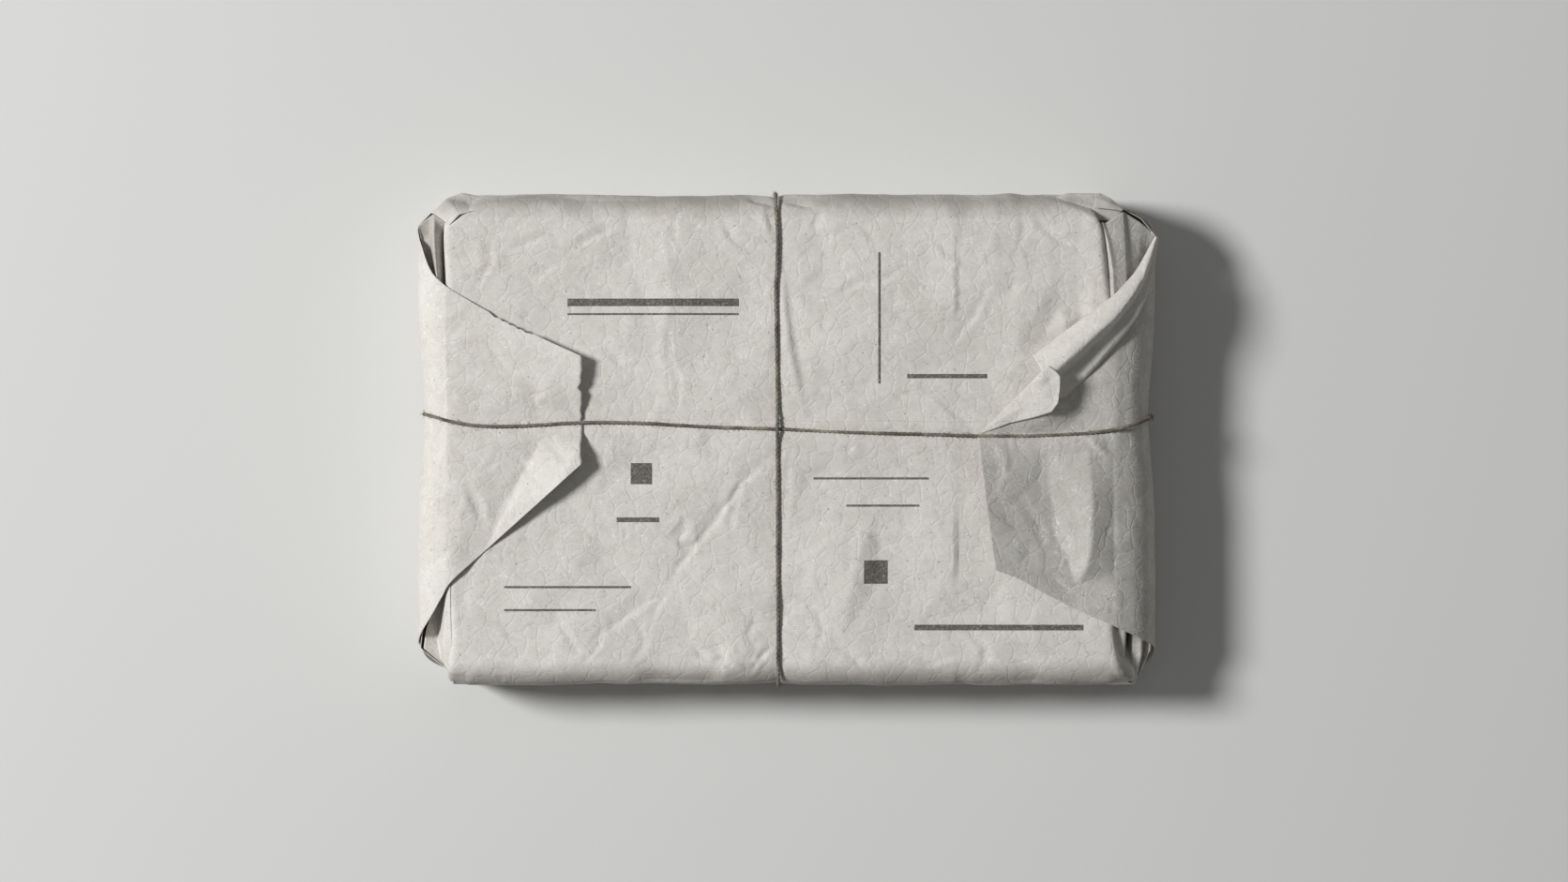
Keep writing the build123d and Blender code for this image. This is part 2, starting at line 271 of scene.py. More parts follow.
def pulp_colour(tree, where, light, middle, dark):
    """The colour of the paper with its fibres and specks, the cloudiness, and the threads on top."""
    cloud = add_node(tree, "ShaderNodeTexNoise", i0=where, Scale=1 / (34 * MM), Detail=5.0, Roughness=0.62)
    mottle = add_node(tree, "ShaderNodeTexNoise", i0=where, Scale=1 / (5 * MM), Detail=4.0, Roughness=0.7)
    pulp = add_node(tree, "ShaderNodeTexNoise", i0=where, Scale=1 / (1.1 * MM), Detail=2.0, Roughness=0.6)
    tone = add_node(tree, "ShaderNodeMix", {"data_type": "FLOAT"}, i0=0.45, i2=cloud, i3=mottle)
    tone = add_node(tree, "ShaderNodeMix", {"data_type": "FLOAT"}, i0=0.25, i2=tone, i3=pulp)
    colour = add_node(
        tree, "ShaderNodeValToRGB", stops=[(0.36, srgb(dark)), (0.5, srgb(middle)), (0.63, srgb(light))],
        i0=tone
    )
    # Curly fibres, 1 to 3 mm long: the thin band where a distorted noise crosses its middle value.
    fibre = add_node(tree, "ShaderNodeTexNoise", i0=where, Scale=1 / (2.6 * MM), Detail=1.0, Distortion=1.6)
    thin = add_node(
        tree, "ShaderNodeValToRGB", stops=[(0.474, grey(0)), (0.5, grey(1)), (0.526, grey(0))], i0=fibre
    )
    patch = add_node(tree, "ShaderNodeTexNoise", i0=where, Scale=1 / (3.1 * MM), Detail=0.0)
    sparse = add_node(tree, "ShaderNodeValToRGB", stops=[(0.5, grey(0)), (0.6, grey(0.45))], i0=patch)
    strength = add_node(tree, "ShaderNodeMath", {"operation": "MULTIPLY"}, i0=thin, i1=sparse)
    colour = add_node(
        tree, "ShaderNodeMix", {"data_type": "RGBA"}, i0=strength, i6=colour, i7=srgb("#8C8880")
    ).outputs[2]
    # Paler threads on top, longer and thinner, which also stand a little proud.
    strand = add_node(tree, "ShaderNodeTexNoise", i0=where, Scale=1 / (4.2 * MM), Detail=2.0, Distortion=2.4)
    web = add_node(
        tree, "ShaderNodeValToRGB", stops=[(0.474, grey(0)), (0.5, grey(1)), (0.526, grey(0))], i0=strand
    )
    area = add_node(tree, "ShaderNodeTexNoise", i0=where, Scale=1 / (7.0 * MM), Detail=0.0)
    some = add_node(tree, "ShaderNodeValToRGB", stops=[(0.48, grey(0)), (0.58, grey(0.8))], i0=area)
    threads_on_top = add_node(tree, "ShaderNodeMath", {"operation": "MULTIPLY"}, i0=web, i1=some)
    colour = add_node(
        tree, "ShaderNodeMix", {"data_type": "RGBA"}, i0=threads_on_top, i6=colour, i7=srgb("#F4F2EE")
    ).outputs[2]
    # Specks of bark, well under a millimetre, about one in each square centimetre.
    speck = add_node(tree, "ShaderNodeTexVoronoi", i0=where, Scale=1 / (6.5 * MM))
    spot = add_node(
        tree, "ShaderNodeValToRGB", stops=[(0.045, grey(0.5)), (0.075, grey(0))],
        i0=speck.outputs["Distance"]
    )
    colour = add_node(
        tree, "ShaderNodeMix", {"data_type": "RGBA"}, i0=spot, i6=colour, i7=srgb("#6E6A63")
    ).outputs[2]
    return colour, cloud, threads_on_top


def painted_edge_shade(tree, where, colour, cloud):
    """Painted shade along the two long top edges: the paper darkens towards them, over an uneven border."""
    place = add_node(tree, "ShaderNodeSeparateXYZ", i0=where)
    out = add_node(tree, "ShaderNodeMath", {"operation": "ABSOLUTE"}, i0=place.outputs[1])
    folded = add_node(tree, "ShaderNodeCombineXYZ", i1=out, i2=place.outputs[2])
    edge = (0.0, half_width * MM, top_z * MM)
    away = add_node(
        tree, "ShaderNodeVectorMath", {"operation": "DISTANCE"}, i0=folded, i1=edge
    ).outputs["Value"]
    uneven = add_node(tree, "ShaderNodeMath", {"operation": "MULTIPLY_ADD"}, i0=cloud, i1=8 * MM, i2=away)
    # painted shade: the paper darkens within 15 mm of each long top edge
    edge_shade_mask = add_node(
        tree, "ShaderNodeValToRGB", stops=[(6.5 * MM, grey(0.8)), (15 * MM, grey(0))], i0=uneven
    )
    # the colour of the painted shade at the edges
    edge_shade_colour = srgb("#88847D")
    return add_node(tree, "ShaderNodeMix", {"data_type": "RGBA"}, i0=edge_shade_mask, i6=colour, i7=edge_shade_colour).outputs[2]


def paper_relief(tree, where, threads_on_top):
    """Fine relief: crumples, the fibres' tooth, small dents and the threads that stand proud."""
    # Fine crumples are the edges of distorted cells, a few millimetres across.
    bent = add_node(tree, "ShaderNodeTexNoise", i0=where, Scale=1 / (9 * MM), Detail=2.0)
    offset = add_node(
        tree, "ShaderNodeVectorMath", {"operation": "SCALE"}, i0=bent.outputs["Color"], Scale=7 * MM
    )
    moved = add_node(tree, "ShaderNodeVectorMath", {"operation": "ADD"}, i0=where, i1=offset)
    cells = add_node(
        tree, "ShaderNodeTexVoronoi", {"feature": "DISTANCE_TO_EDGE"}, i0=moved, Scale=1 / (7.5 * MM)
    )
    lines = add_node(
        tree, "ShaderNodeValToRGB", stops=[(0.0, grey(0)), (0.09, grey(1))], i0=cells.outputs["Distance"]
    )
    rough = add_node(tree, "ShaderNodeTexNoise", i0=where, Scale=1 / (0.7 * MM), Detail=3.0, Roughness=0.65)
    crumpled = add_node(
        tree, "ShaderNodeTexNoise", i0=where, Scale=1 / (4.5 * MM), Detail=5.0, Roughness=0.58
    )
    soft = add_node(tree, "ShaderNodeBump", Strength=0.42, Distance=0.35 * MM, Height=crumpled)
    edges = add_node(tree, "ShaderNodeBump", Strength=0.5, Distance=0.2 * MM, Height=lines, Normal=soft)
    tooth = add_node(tree, "ShaderNodeBump", Strength=0.35, Distance=0.05 * MM, Height=rough, Normal=edges)
    # Small dents, 2 or 3 mm across and bent out of shape, in about every other square of 14 mm.
    knock = add_node(tree, "ShaderNodeTexVoronoi", i0=moved, Scale=1 / (14 * MM))
    near = add_node(
        tree, "ShaderNodeValToRGB", stops=[(0.02, grey(0)), (0.17, grey(1))], i0=knock.outputs["Distance"]
    )
    share = add_node(tree, "ShaderNodeSeparateXYZ", i0=knock.outputs["Color"])
    spared = add_node(tree, "ShaderNodeValToRGB", stops=[(0.45, grey(0)), (0.55, grey(1))], i0=share)
    dented = add_node(tree, "ShaderNodeMath", {"operation": "MAXIMUM"}, i0=near, i1=spared)
    tooth = add_node(tree, "ShaderNodeBump", Strength=0.55, Distance=0.5 * MM, Height=dented, Normal=tooth)
    raised = add_node(
        tree, "ShaderNodeBump", Strength=0.5, Distance=0.12 * MM, Height=threads_on_top, Normal=tooth
    )
    return raised.outputs[0]


def paper(name, light, middle, dark):
    """Uncoated kraft paper: matt, cloudy, with fibres, specks and a fine crumple."""
    material = bpy.data.materials.new(name)
    material.use_nodes = True
    tree = material.node_tree
    shader = tree.nodes["Principled BSDF"]
    shader.inputs["Roughness"].default_value = 0.82
    shader.inputs["Specular IOR Level"].default_value = 0.28
    where = add_node(tree, "ShaderNodeTexCoord").outputs["Object"]
    colour, cloud, threads_on_top = pulp_colour(tree, where, light, middle, dark)
    # the long top edges get painted shade
    tree.links.new(painted_edge_shade(tree, where, colour, cloud), shader.inputs["Base Color"])
    tree.links.new(paper_relief(tree, where, threads_on_top), shader.inputs["Normal"])
    return material


# The right flap and the walls and pleats of the back corners are a tone darker: painted shade, for the flap
# that falls away from the lamp and for the recesses of the tucks.
wrapping = paper("bleached_kraft_paper", "#DFDCD6", "#D6D3CC", "#CBC7BF")
shaded_paper = paper("shaded_kraft_paper", "#CDCAC4", "#C1BEB7", "#B2AEA7")
print("materials", wrapping.name, shaded_paper.name)

# %% [markdown]
# The wrapper is a tube of paper round the contents, closed by its folded ends. Walking round it
# across the parcel, the section is a soft-cornered rectangle; along it, each end rolls over its fold
# and closes against the contents. The creases push it in and out. A box with bevelled edges would
# give the outline, but not folds that run from the panel over its edge and down the side.

# %% The section of the wrapper
top_round = 9.0
bottom_round = 6.0
side_y = half_width - 0.9
spine_y = side_y - top_z / 2
end_roll = 2.6
cap_share = 0.035  # of the columns, at each end, that close it
roll_share = 0.35  # of those columns, that roll over the fold


def section(v):
    """Place and outward direction on the section, as (y, z, ny, nz, s), for v from 0 to 1.
    s is the distance round the section from the middle of the top, growing towards +Y."""
    flat_top = side_y - top_round
    flat_side = top_z - top_round - bottom_round
    flat_bottom = side_y - bottom_round
    lengths = [flat_top, top_round * math.pi / 2, flat_side, bottom_round * math.pi / 2, flat_bottom]
    marks = np.cumsum([0] + lengths)
    # Half the rows go to the top, and fewer to the underside, which is plain.
    row_marks = np.array([0.0, 0.3, 0.345, 0.415, 0.44, 0.5])
    folded = np.minimum(v, 1 - v)
    side = np.where(v <= 0.5, 1.0, -1.0)
    s = np.interp(folded, row_marks, marks)
    y = np.zeros_like(s)
    z = np.zeros_like(s)
    ny = np.zeros_like(s)
    nz = np.zeros_like(s)
    k = np.searchsorted(marks[1:-1], s, side="right")
    t = s - marks[k]
    here = k == 0
    y[here], z[here], nz[here] = t[here], top_z, 1
    here = k == 1
    angle = t[here] / top_round
    y[here], z[here] = flat_top + top_round * np.sin(angle), top_z - top_round + top_round * np.cos(angle)
    ny[here], nz[here] = np.sin(angle), np.cos(angle)
    here = k == 2
    y[here], z[here], ny[here] = side_y, top_z - top_round - t[here], 1
    here = k == 3
    angle = t[here] / bottom_round
    y[here], z[here] = flat_bottom + bottom_round * np.cos(angle), bottom_round - bottom_round * np.sin(angle)
    ny[here], nz[here] = np.cos(angle), -np.sin(angle)
    here = k == 4
    y[here], z[here], nz[here] = flat_bottom - t[here], 0, -1
    return side * y, z, side * ny, nz, side * s


# %% The creases of the top panel
# Profiles across a crease, as (offset, height): a long hollow, a fine line, a pinch and a valley.
hollow = [(-13, 0.3), (-6, 0.05), (-0.6, -1.1), (1.3, -0.1), (9, 0.2)]
fine = [(-4.5, 0.15), (-0.5, -0.5), (0.8, 0.15), (5, 0.0)]
pinch = [(-5, 0.2), (0, -1.3), (1.6, 0.4), (6, 0.0)]
valley = [(-8, 0.35), (-0.5, -0.75), (1.0, 0.0), (8, 0.1)]
beside_twine = [(-5, 0.1), (-1.4, 0.7), (1.0, -0.55), (6, 0.15)]
top_folds = [
    ([(-86.3, -88.8), (-76, -81.5), (-67.8, -75.3), (-56, -67.8), (-51, -66.9)], valley, 4.0),
    ([(-51, -66.9), (-47.6, -56.8), (-36.6, -42.5), (-29.1, -33.2), (-19, -18.9), (-5.5, -6.3)], hollow, 4.0),
    ([(-21.5, -40), (-24, -36.6), (-21.5, -28.2), (-19, -18.9)], fine, 3.0),
    ([(-17.3, -100.6), (-13.8, -95.7), (-6.8, -88.2)], pinch, 3.0),
    ([(-27, -103), (-17, -99), (-12, -86)], fine, 3.0),
    ([(-33, -88), (-27, -94), (-22, -99)], [(-6, 0.3), (0, -1.0), (5, 0.3)], 4.0),
    ([(-88, -98), (-80, -88), (-77, -81)], fine, 3.0),
    ([(-57, -76), (-54, -70), (-51, -66)], fine, 2.5),
    ([(9.5, 8.6), (6.2, 20), (2.6, 38), (0.0, 56), (-2.0, 78)], beside_twine, 5.0),
    ([(-9, 101), (-8, 94), (-6, 88)], pinch, 3.0),
    ([(-1, -40), (0.5, -12.2), (3, -1.5)], [(-2, 0), (0, -0.25), (1.2, 0.2), (5, 0)], 4.0),
    ([(-17, 103.5), (-9, 101.8), (-6, 100)], pinch, 3.0),
    ([(-2.5, 103), (5, 100.8), (13, 99.2)], pinch, 3.0),
    ([(13, 99.2), (12, 96), (9.9, 89.6)], fine, 3.0),
    ([(98, 34), (105, 47), (111, 59), (114, 70)], [(-12, 0.4), (-3, 0.9), (5, -0.9), (15, -1.3)], 6.0),
    ([(-125, -78), (-118, -85), (-109, -88)], fine, 4.0),
    ([(-98, -80), (-91, -90), (-84, -96)], fine, 4.0),
    ([(12, -84), (26, -92), (33, -101)], fine, 4.0),
    ([(48, -94), (60, -97), (72, -93)], fine, 4.0),
    ([(60, 88), (66, 80), (78, 74)], fine, 4.0),
    ([(-118, 80), (-104, 86), (-92, 82)], fine, 4.0),
    ([(-44, -33), (-46, -44), (-41, -52)], [(-6, 0.1), (0, -0.9), (6, 0.1)], 4.0),
    ([(-66, -76), (-62, -86), (-68, -96)], fine, 4.0),
    ([(-46, -84), (-36, -94), (-24, -98)], fine, 4.0),
    ([(-14, -72), (-18, -84), (-13, -95)], fine, 4.0),
    ([(8, -70), (14, -79), (11, -92)], fine, 4.0),
    ([(74, -80), (84, -90), (80, -100)], fine, 4.0),
    ([(96, -88), (108, -94), (118, -92)], fine, 4.0),
    ([(-30, 96), (-24, 84), (-12, 78)], fine, 4.0),
    ([(-58, 98), (-50, 90), (-46, 80)], fine, 4.0),
    ([(22, 96), (34, 88), (38, 78)], fine, 4.0),
    ([(104, 96), (112, 86), (124, 80)], fine, 4.0),
    ([(70, 40), (80, 52), (86, 66)], fine, 5.0),
    ([(-80, 40), (-70, 30), (-56, 30)], fine, 5.0),
    ([(20, -34), (34, -40), (44, -50)], fine, 5.0),
    ([(-134, 62), (-126, 74), (-126, 86)], fine, 5.0),
    ([(-47, 12), (-45, 24), (-50, 36), (-49, 48)], fine, 3.0),
    ([(-95, 78), (-86, 84), (-74, 90), (-64, 90)], fine, 3.0),
    ([(-48, 96), (-51, 86), (-50, 78)], fine, 3.0),
    ([(20, 60), (30, 66), (42, 67), (50, 74)], fine, 4.0),
    ([(98, 98), (100, 90), (97, 82)], fine, 3.0),
]
crumple = crease_net(unrolled, 13.0, 0.55, all_creases(top_folds), seed=3)
small_crumple = crease_net(unrolled, 5.0, 0.12, seed=4)
broad_folds = crease_net(unrolled, 24.0, 1.7, seed=21)

# %% How the wrapper lies on the contents
# The top panel ends at the back in a fold that draws in towards both corners.
back_fold = line_through(
    [
        (-146, 90.5), (-142, 93), (-134.8, 98.4), (-121.6, 101.7), (-107, 104.6), (-94, 108), (0, 112),
        (94, 108.5), (98, 106.4), (109, 103.5), (119.4, 100.5), (126.4, 97.1), (132.1, 93.5), (136, 90),
    ]
)


def held(place, at, reach):
    """0 where the twine holds the paper down, 1 away from it."""
    return 1 - np.exp(-(((place - at) / reach) ** 2))


def swell(x, y):
    """The slow rise and fall of the top panel over the contents."""
    wave = 0.55 * np.sin(x / 23 + 0.6) * np.sin(y / 19 + 1.1) + 0.4 * np.sin(x / 41 - y / 29 + 2)
    dome = 1 - (x / 175) ** 2 - 0.6 * (y / 118) ** 2
    # Broad, shallow facets, held flat along the twine and low where the flaps lie on them.
    free = held(x, cross_x, 15) * held(y, long_twine_y(x), 13)
    facets = np.where((x < -76) | (x > 72), np.minimum(broad_folds(x, y), 0.2), broad_folds(x, y))
    return 0.5 * wave + 0.5 * dome + facets * free


def twine_pull(x, y, z, s):
    """How far the twine presses the paper in at each place: a narrow groove in a wide, soft hollow."""
    cross = np.exp(-(((x - cross_x) / 2.2) ** 2)) * 0.35 + np.exp(-(((x - cross_x) / 11) ** 2)) * 0.35
    on_edge = np.exp(-(((np.abs(s) - side_y + 3) / 9) ** 2))
    cross = cross * (1 + 1.3 * on_edge)
    under = z < 1.0
    along = np.exp(-(((y - long_twine_y(x)) / 2.4) ** 2)) * 0.5
    along = along * np.where(z > top_z - 1, smooth((x + 92) / 6) * smooth((88 - x) / 6), 0.0)
    groove = np.where(under, np.exp(-((np.minimum(np.abs(x - cross_x), np.abs(y - 5)) / 1.9) ** 4)) * 1.9, 0)
    return np.where(under, groove, cross + along)


# %% The wrapper round the contents


def wrapper_form(u, v):
    """Where each place of the wrapper lies: u runs along the parcel, and v round it."""
    y, z, ny, nz, s = section(v)
    left, right = left_fold(y), right_fold(y)
    along = (u - cap_share) / (1 - 2 * cap_share)
    x = left + (right - left) * np.clip(along, 0, 1)
    past = np.clip(np.maximum(-along, along - 1) * (1 - 2 * cap_share) / cap_share, 0, 1)
    outward = np.where(along < 0.5, -1.0, 1.0)
    # The tucked corners pull in the plan of the parcel at its ends.
    near_end = np.maximum(left + 7 - x, x - right + 7) / 7
    clip = smooth(near_end) * np.where(np.abs(ny) > 0.5, 1.3, 0.4) * np.abs(ny)
    push = crumple(x, s) + small_crumple(x, s)
    push = np.where(nz < -0.9, np.minimum(push * 0.4, 0.0) - 0.05, push)
    push = push + np.where(nz > 0.5, swell(x, y), 0.25 * np.sin(x / 31) * np.abs(ny))
    push = push - twine_pull(x, y, z, s) - clip
    push = push * (1 - past)
    y, z = y + ny * push, z + nz * push
    # Behind the back fold the paper slopes down, and most where the fold draws in.
    z = z - 1.3 * np.clip(y - back_fold(x), 0, None) * np.clip((z - 8) / 42, 0, 1)
    # Rolling over the fold, then closing towards the spine of the contents.
    turn = np.clip(past / roll_share, 0, 1) * math.pi / 2
    x = x + outward * end_roll * np.sin(turn)
    closing = np.clip((past - roll_share) / (1 - roll_share), 0, 1)
    inset = end_roll * (1 - np.cos(turn)) + (top_z / 2 - end_roll) * closing
    keep = 1 - inset / (top_z / 2)
    middle_y = np.clip(y, -spine_y, spine_y)
    y = middle_y + (y - middle_y) * keep
    z = top_z / 2 + (z - top_z / 2) * keep
    return x, y, z


wrapper_run = 292  # along the parcel, over the panel and onto both ends
rows_round = 350
columns = round(wrapper_run / sheet_step)
wrapper_mesh = folded_sheet("wrapper", wrapper_form, columns, rows_round, closed=True)
wrapper = mesh_object("wrapper", wrapper_mesh, wrapping)

# %% [markdown]
# At each end the lower paper comes up over the end and folds onto the top as a flap that narrows to
# its tip. It is one sheet from the bottom edge to the tip, so it is one grid: rows follow the fold
# up the bulged end and over, and columns run across the parcel between the two cut edges. Only the
# twine holds a flap down, so it springs up on both sides of it and throws a shadow on the panel.

# %% The end flaps


def flap_form(stations, fold_x, sign, lift, net):
    """stations are (x, z, lowest y, highest y) from the bottom of the end to the tip."""
    table = np.array(stations, float)
    steps = np.linspace(0, 1, len(table))
    across = [line_through(zip(steps, table[:, k])) for k in range(4)]
    length = np.concatenate(([0], np.cumsum(np.hypot(np.diff(table[:, 0]), np.diff(table[:, 1])))))
    widest = int(np.argmax(table[:, 0] * sign))
    at_fold = np.interp(fold_x * sign, table[widest:, 0][::-1] * sign, length[widest:][::-1])
    travel = line_through(zip(steps, length))

    def form(u, v):
        x, z, y_low, y_high = (f(u) for f in across)
        y = y_low + (y_high - y_low) * v
        path = fold_x - sign * (travel(u) - at_fold)
        x, y, rise = lift(x, y, path)
        push = net(path, y) * np.clip(0.35 + u, 0, 1)
        ahead = np.gradient(table[:, 0]), np.gradient(table[:, 1])
        dx, dz = np.interp(u, steps, ahead[0]), np.interp(u, steps, ahead[1])
        run = np.hypot(dx, dz)
        nx, nz = sign * dz / run, -sign * dx / run
        waist = 2.9 * np.exp(-(((y - 11) / 27) ** 2)) * np.clip(nx * sign, 0, 1)
        return x + nx * push - sign * waist, y, z + nz * push + rise

    return form


# %% How each flap springs off the panel
left_edge = line_through([(-143.4, 64.0), (-130.0, 56.0), (-116.0, 48.8), (-102.0, 42.0), (-87.8, 35.6)])


def left_lift(x, y, path):
    """Where the left flap goes off its flat shape: its cut edge moves a little, and it springs up."""
    t = np.clip((path + 146) / 58, 0, 1)
    upper = 5.6 * t**1.6 * held(y, 7, 13) * (y > 7)
    lower = 4.2 * t**0.8 * held(y, 7, 12) * (y <= 7)
    # Below the twine the flap falls to a crease and rises again as a band beside its cut edge.
    beyond = (path + 102.6) * 0.894 - (y - 5.6) * 0.449
    below = smooth((4 - y) / 10) * smooth((path + 145) / 10) * smooth((y + 62) / 14)
    dish = np.clip(1 - np.abs(beyond) / 17, 0, 1)
    band = (0.26 * np.clip(beyond, 0, 16) - 2.3 * dish) * below
    ragged = 0.22 * np.sin(y * 0.45) + 0.12 * np.sin(y * 1.3 + 1) - 1.1 * np.exp(-(((y - 22) / 1.4) ** 2))
    x = x + ragged * smooth((t - 0.93) / 0.07)
    # A sliver is torn off the upper cut edge.
    torn = smooth((x + 127.5) / 1.2) * smooth((-108.5 - x) / 1.2) * (0.8 + 0.3 * np.sin(x * 1.9))
    y = y - torn * smooth((y - left_edge(x) + 3) / 3)
    return x, y, upper + lower + band


# Where the leaf turns out, the flap rises with it: how high, and how far from the twine that is.
leaf_rise = line_through(
    [(84, 0.0), (94.5, 1.8), (104, 4.6), (112, 6.6), (117, 4.8), (122, 2.0), (128, 0.4), (134, 0)]
)
leaf_turn = line_through([(84, 3.2), (94.5, 7.1), (104, 9.2), (112, 11.6), (120, 14), (139, 20)])
tongue_left = line_through([(-61, 122.4), (-58, 120.8), (-50, 118.4), (-42, 113.6), (-30, 112), (2, 110)])
tongue_right = line_through([(-61, 123.4), (-58, 125.2), (-50, 128), (-36, 129.5), (2, 128)])


def right_lift(x, y, path):
    """The same for the right flap, which has more folds and is pleated where the twine crosses it."""
    t = np.clip((139 - path) / 58, 0, 1)
    above = 7.5 * t**1.15 * held(y, 1.5, 15)
    # Below the twine: a fall from the sprung edge, a tongue that rises to a ridge, a fall to the fold.
    left, right = tongue_left(y), tongue_right(y)
    edge = 6.4 * held(y, 1.5, 7) + 0.6
    tall = 4.3 * smooth((y + 62.5) / 9) * (0.2 + 0.8 * held(y, 1.5, 22))
    fall = edge * np.clip((left - path) / (left - 80), 0, 1)
    ridge = tall * np.clip((path - left) / (right - left), 0, 1)
    down = (ridge + 0.8) * np.clip((path - right) / (139 - right), 0, 1)
    below = fall + ridge - down + 0.5
    bow = 7.4 * np.clip(-y / 57, 0, 1) ** 1.15 * t**2
    phase = (path - 121) * 0.62 + 1.7 * np.sin(path * 0.21) + 0.06 * y
    pleats = 0.3 * np.abs(np.sin(phase)) ** 0.6 * np.exp(-(((y - 1) / 9) ** 2)) * (y < 2)
    turned = leaf_rise(x) * np.clip((y - 2.8) / (leaf_turn(x) - 2.8), 0, 1) * smooth((20 - y) / 5)
    above = np.maximum(above, turned)
    blend = smooth((y + 1) / 5)
    rise = above * blend + below * (1 - blend)
    return x + bow, y, rise + pleats * smooth((138 - path) / 10) * smooth((path - 84) / 8)


# %% The two flaps
# Each station is (x, z, lowest y, highest y), from the bottom edge of the end to the tip of the flap.
left_stations = [
    (-143.0, 0.8, -101.0, 101.0), (-150.5, 4.0, -99.0, 99.0), (-156.2, 12.0, -95.0, 96.0),
    (-158.6, 22.0, -89.0, 93.0), (-158.9, 32.0, -86.8, 90.5), (-156.8, 41.0, -82.5, 83.0),
    (-152.6, 46.8, -75.8, 72.5), (-147.6, 50.0, -67.2, 67.0), (-143.4, 51.0, -60.6, 64.0),
    (-130.0, 51.2, -48.4, 56.0), (-116.0, 51.2, -35.8, 48.8), (-102.0, 51.2, -23.3, 42.0),
    (-87.8, 51.2, -10.5, 35.6),
]
right_stations = [
    (145.0, 0.8, -101.0, 101.0), (151.5, 4.0, -100.0, 99.0), (156.0, 12.0, -97.0, 96.0),
    (158.2, 22.0, -93.0, 90.0), (158.0, 30.0, -90.5, 85.0), (156.8, 36.0, -88.4, 77.0),
    (154.0, 42.2, -86.8, 68.0), (149.2, 46.6, -84.2, 58.0), (143.8, 49.2, -81.8, 49.0),
    (138.6, 50.8, -79.3, 43.0), (130.0, 51.0, -75.6, 34.0), (116.4, 51.0, -69.6, 19.5),
    (104.0, 51.1, -64.0, 10.5), (93.0, 51.1, -59.0, 6.0), (80.9, 51.1, -55.5, 2.2),
]
left_folds = [
    ([(-96, 15), (-91, 11), (-88.6, 9)], [(-3, 0.1), (0, -0.7), (2, 0.3)], 2.5),
    (
        [(-102.6, 5.6), (-112, -11.5), (-116.6, -19.8), (-124.2, -31.6), (-127.6, -44.2)],
        [(-4, 0.35), (0, -0.35), (3, 0)], 4.0
    ),
    ([(-110, 24), (-107, 14), (-104, 9)], [(-7, 0.5), (0, -0.9), (6, 0.2)], 5.0),
    ([(-137, -18), (-132, -30), (-130, -38)], [(-4, 0.4), (0, -0.8), (3, 0.2)], 4.0),
    ([(-127, 40), (-121, 31), (-113, 28)], [(-3, 0.25), (0, -0.3), (3, 0.1)], 4.0),
    ([(-106, 2), (-99, -4), (-93, -10)], [(-2.5, 0.1), (0, -0.5), (2.5, 0.35)], 3.0),
    ([(-116, -6), (-108, -17), (-101, -16)], [(-2.5, 0.1), (0, -0.4), (2.5, 0.3)], 3.0),
]
right_folds = [
    ([(84.4, -1), (89.7, -7.8), (90.2, -14), (85.6, -22.6)], [(-2, 0.5), (0, -0.2), (2.5, -0.4)], 3.0),
    ([(127.5, 1.5), (131, -2.5), (136.6, -6.2)], [(-2, 0.3), (0, 0.9), (1.5, -0.5)], 2.5),
    ([(96, -26), (104, -34), (108, -47)], [(-4, 0.3), (0, -0.4), (4, 0.1)], 4.0),
    ([(99, -56), (112, -60), (120, -66)], [(-3, 0.2), (0, -0.4), (3, 0.1)], 4.0),
]
left_net = crease_net((-225, -108, -82, 108), 9.0, 0.42, all_creases(left_folds), seed=8)
right_net = crease_net((76, -108, 225, 108), 9.0, 0.36, all_creases(right_folds), seed=9)
left_flap_fold, right_flap_fold = -143.4, 138.6
left_form = flap_form(left_stations, left_flap_fold, -1, left_lift, left_net)
right_form = flap_form(right_stations, right_flap_fold, 1, right_lift, right_net)
left_flap = mesh_object("left_flap", folded_sheet("left_flap", left_form, 150, 190), wrapping)
# the right flap takes the darker copy of the paper, as painted shade
right_flap = mesh_object("right_flap", folded_sheet("right_flap", right_form, 170, 200), shaded_paper)
for flap in (left_flap, right_flap):
    thicken(flap)

# %% [markdown]
# The far corner of the right flap has sprung up and rolled back on itself. The roll is a cone: the
# section across it is a flattened spiral, widest at its open mouth. Bending a flat sheet round a bone
# would do it too, but the spiral is seen end-on here, so its section is set place by place.

# %% The rolled corner
roll_x = line_through([(0, 110.3), (0.3, 128.5), (0.55, 143.6), (0.8, 152.6), (1, 158.3)])
roll_y = line_through([(0, 25.8), (0.3, 42.0), (0.55, 56.8), (0.8, 71.6), (1, 87.0)])
roll_base = line_through([(0, 51.2), (0.45, 50.9), (0.6, 49.4), (0.8, 44.6), (1, 37.8)])
roll_width = line_through([(0, 11.4), (0.3, 9.6), (0.55, 6.9), (0.8, 3.6), (1, 0.7)])
roll_height = line_through([(0, 12.4), (0.3, 11.0), (0.55, 8.0), (0.8, 5.0), (1, 1.2)])
# The section: share of the sheet, then distance from the middle line and height as shares of the roll's.
roll_section = [
    (0.0, 0.93, -0.02), (0.03, 1.0, 0.10), (0.08, 0.93, 0.20), (0.2, 0.62, 0.27), (0.28, 0.36, 0.33),
    (0.34, 0.24, 0.52), (0.40, 0.12, 0.84), (0.44, 0.0, 0.97), (0.5, -0.2, 1.0), (0.58, -0.55, 0.86),
    (0.66, -0.86, 0.6), (0.73, -1.0, 0.34), (0.80, -0.86, 0.12), (0.88, -0.45, 0.05), (1.0, 0.05, 0.20),
]
roll_net = crease_net((-5, -5, 105, 75), 8.0, 0.4, seed=12)
roll_out = line_through([(v, out) for v, out, _ in roll_section])
roll_up = line_through([(v, up) for v, _, up in roll_section])


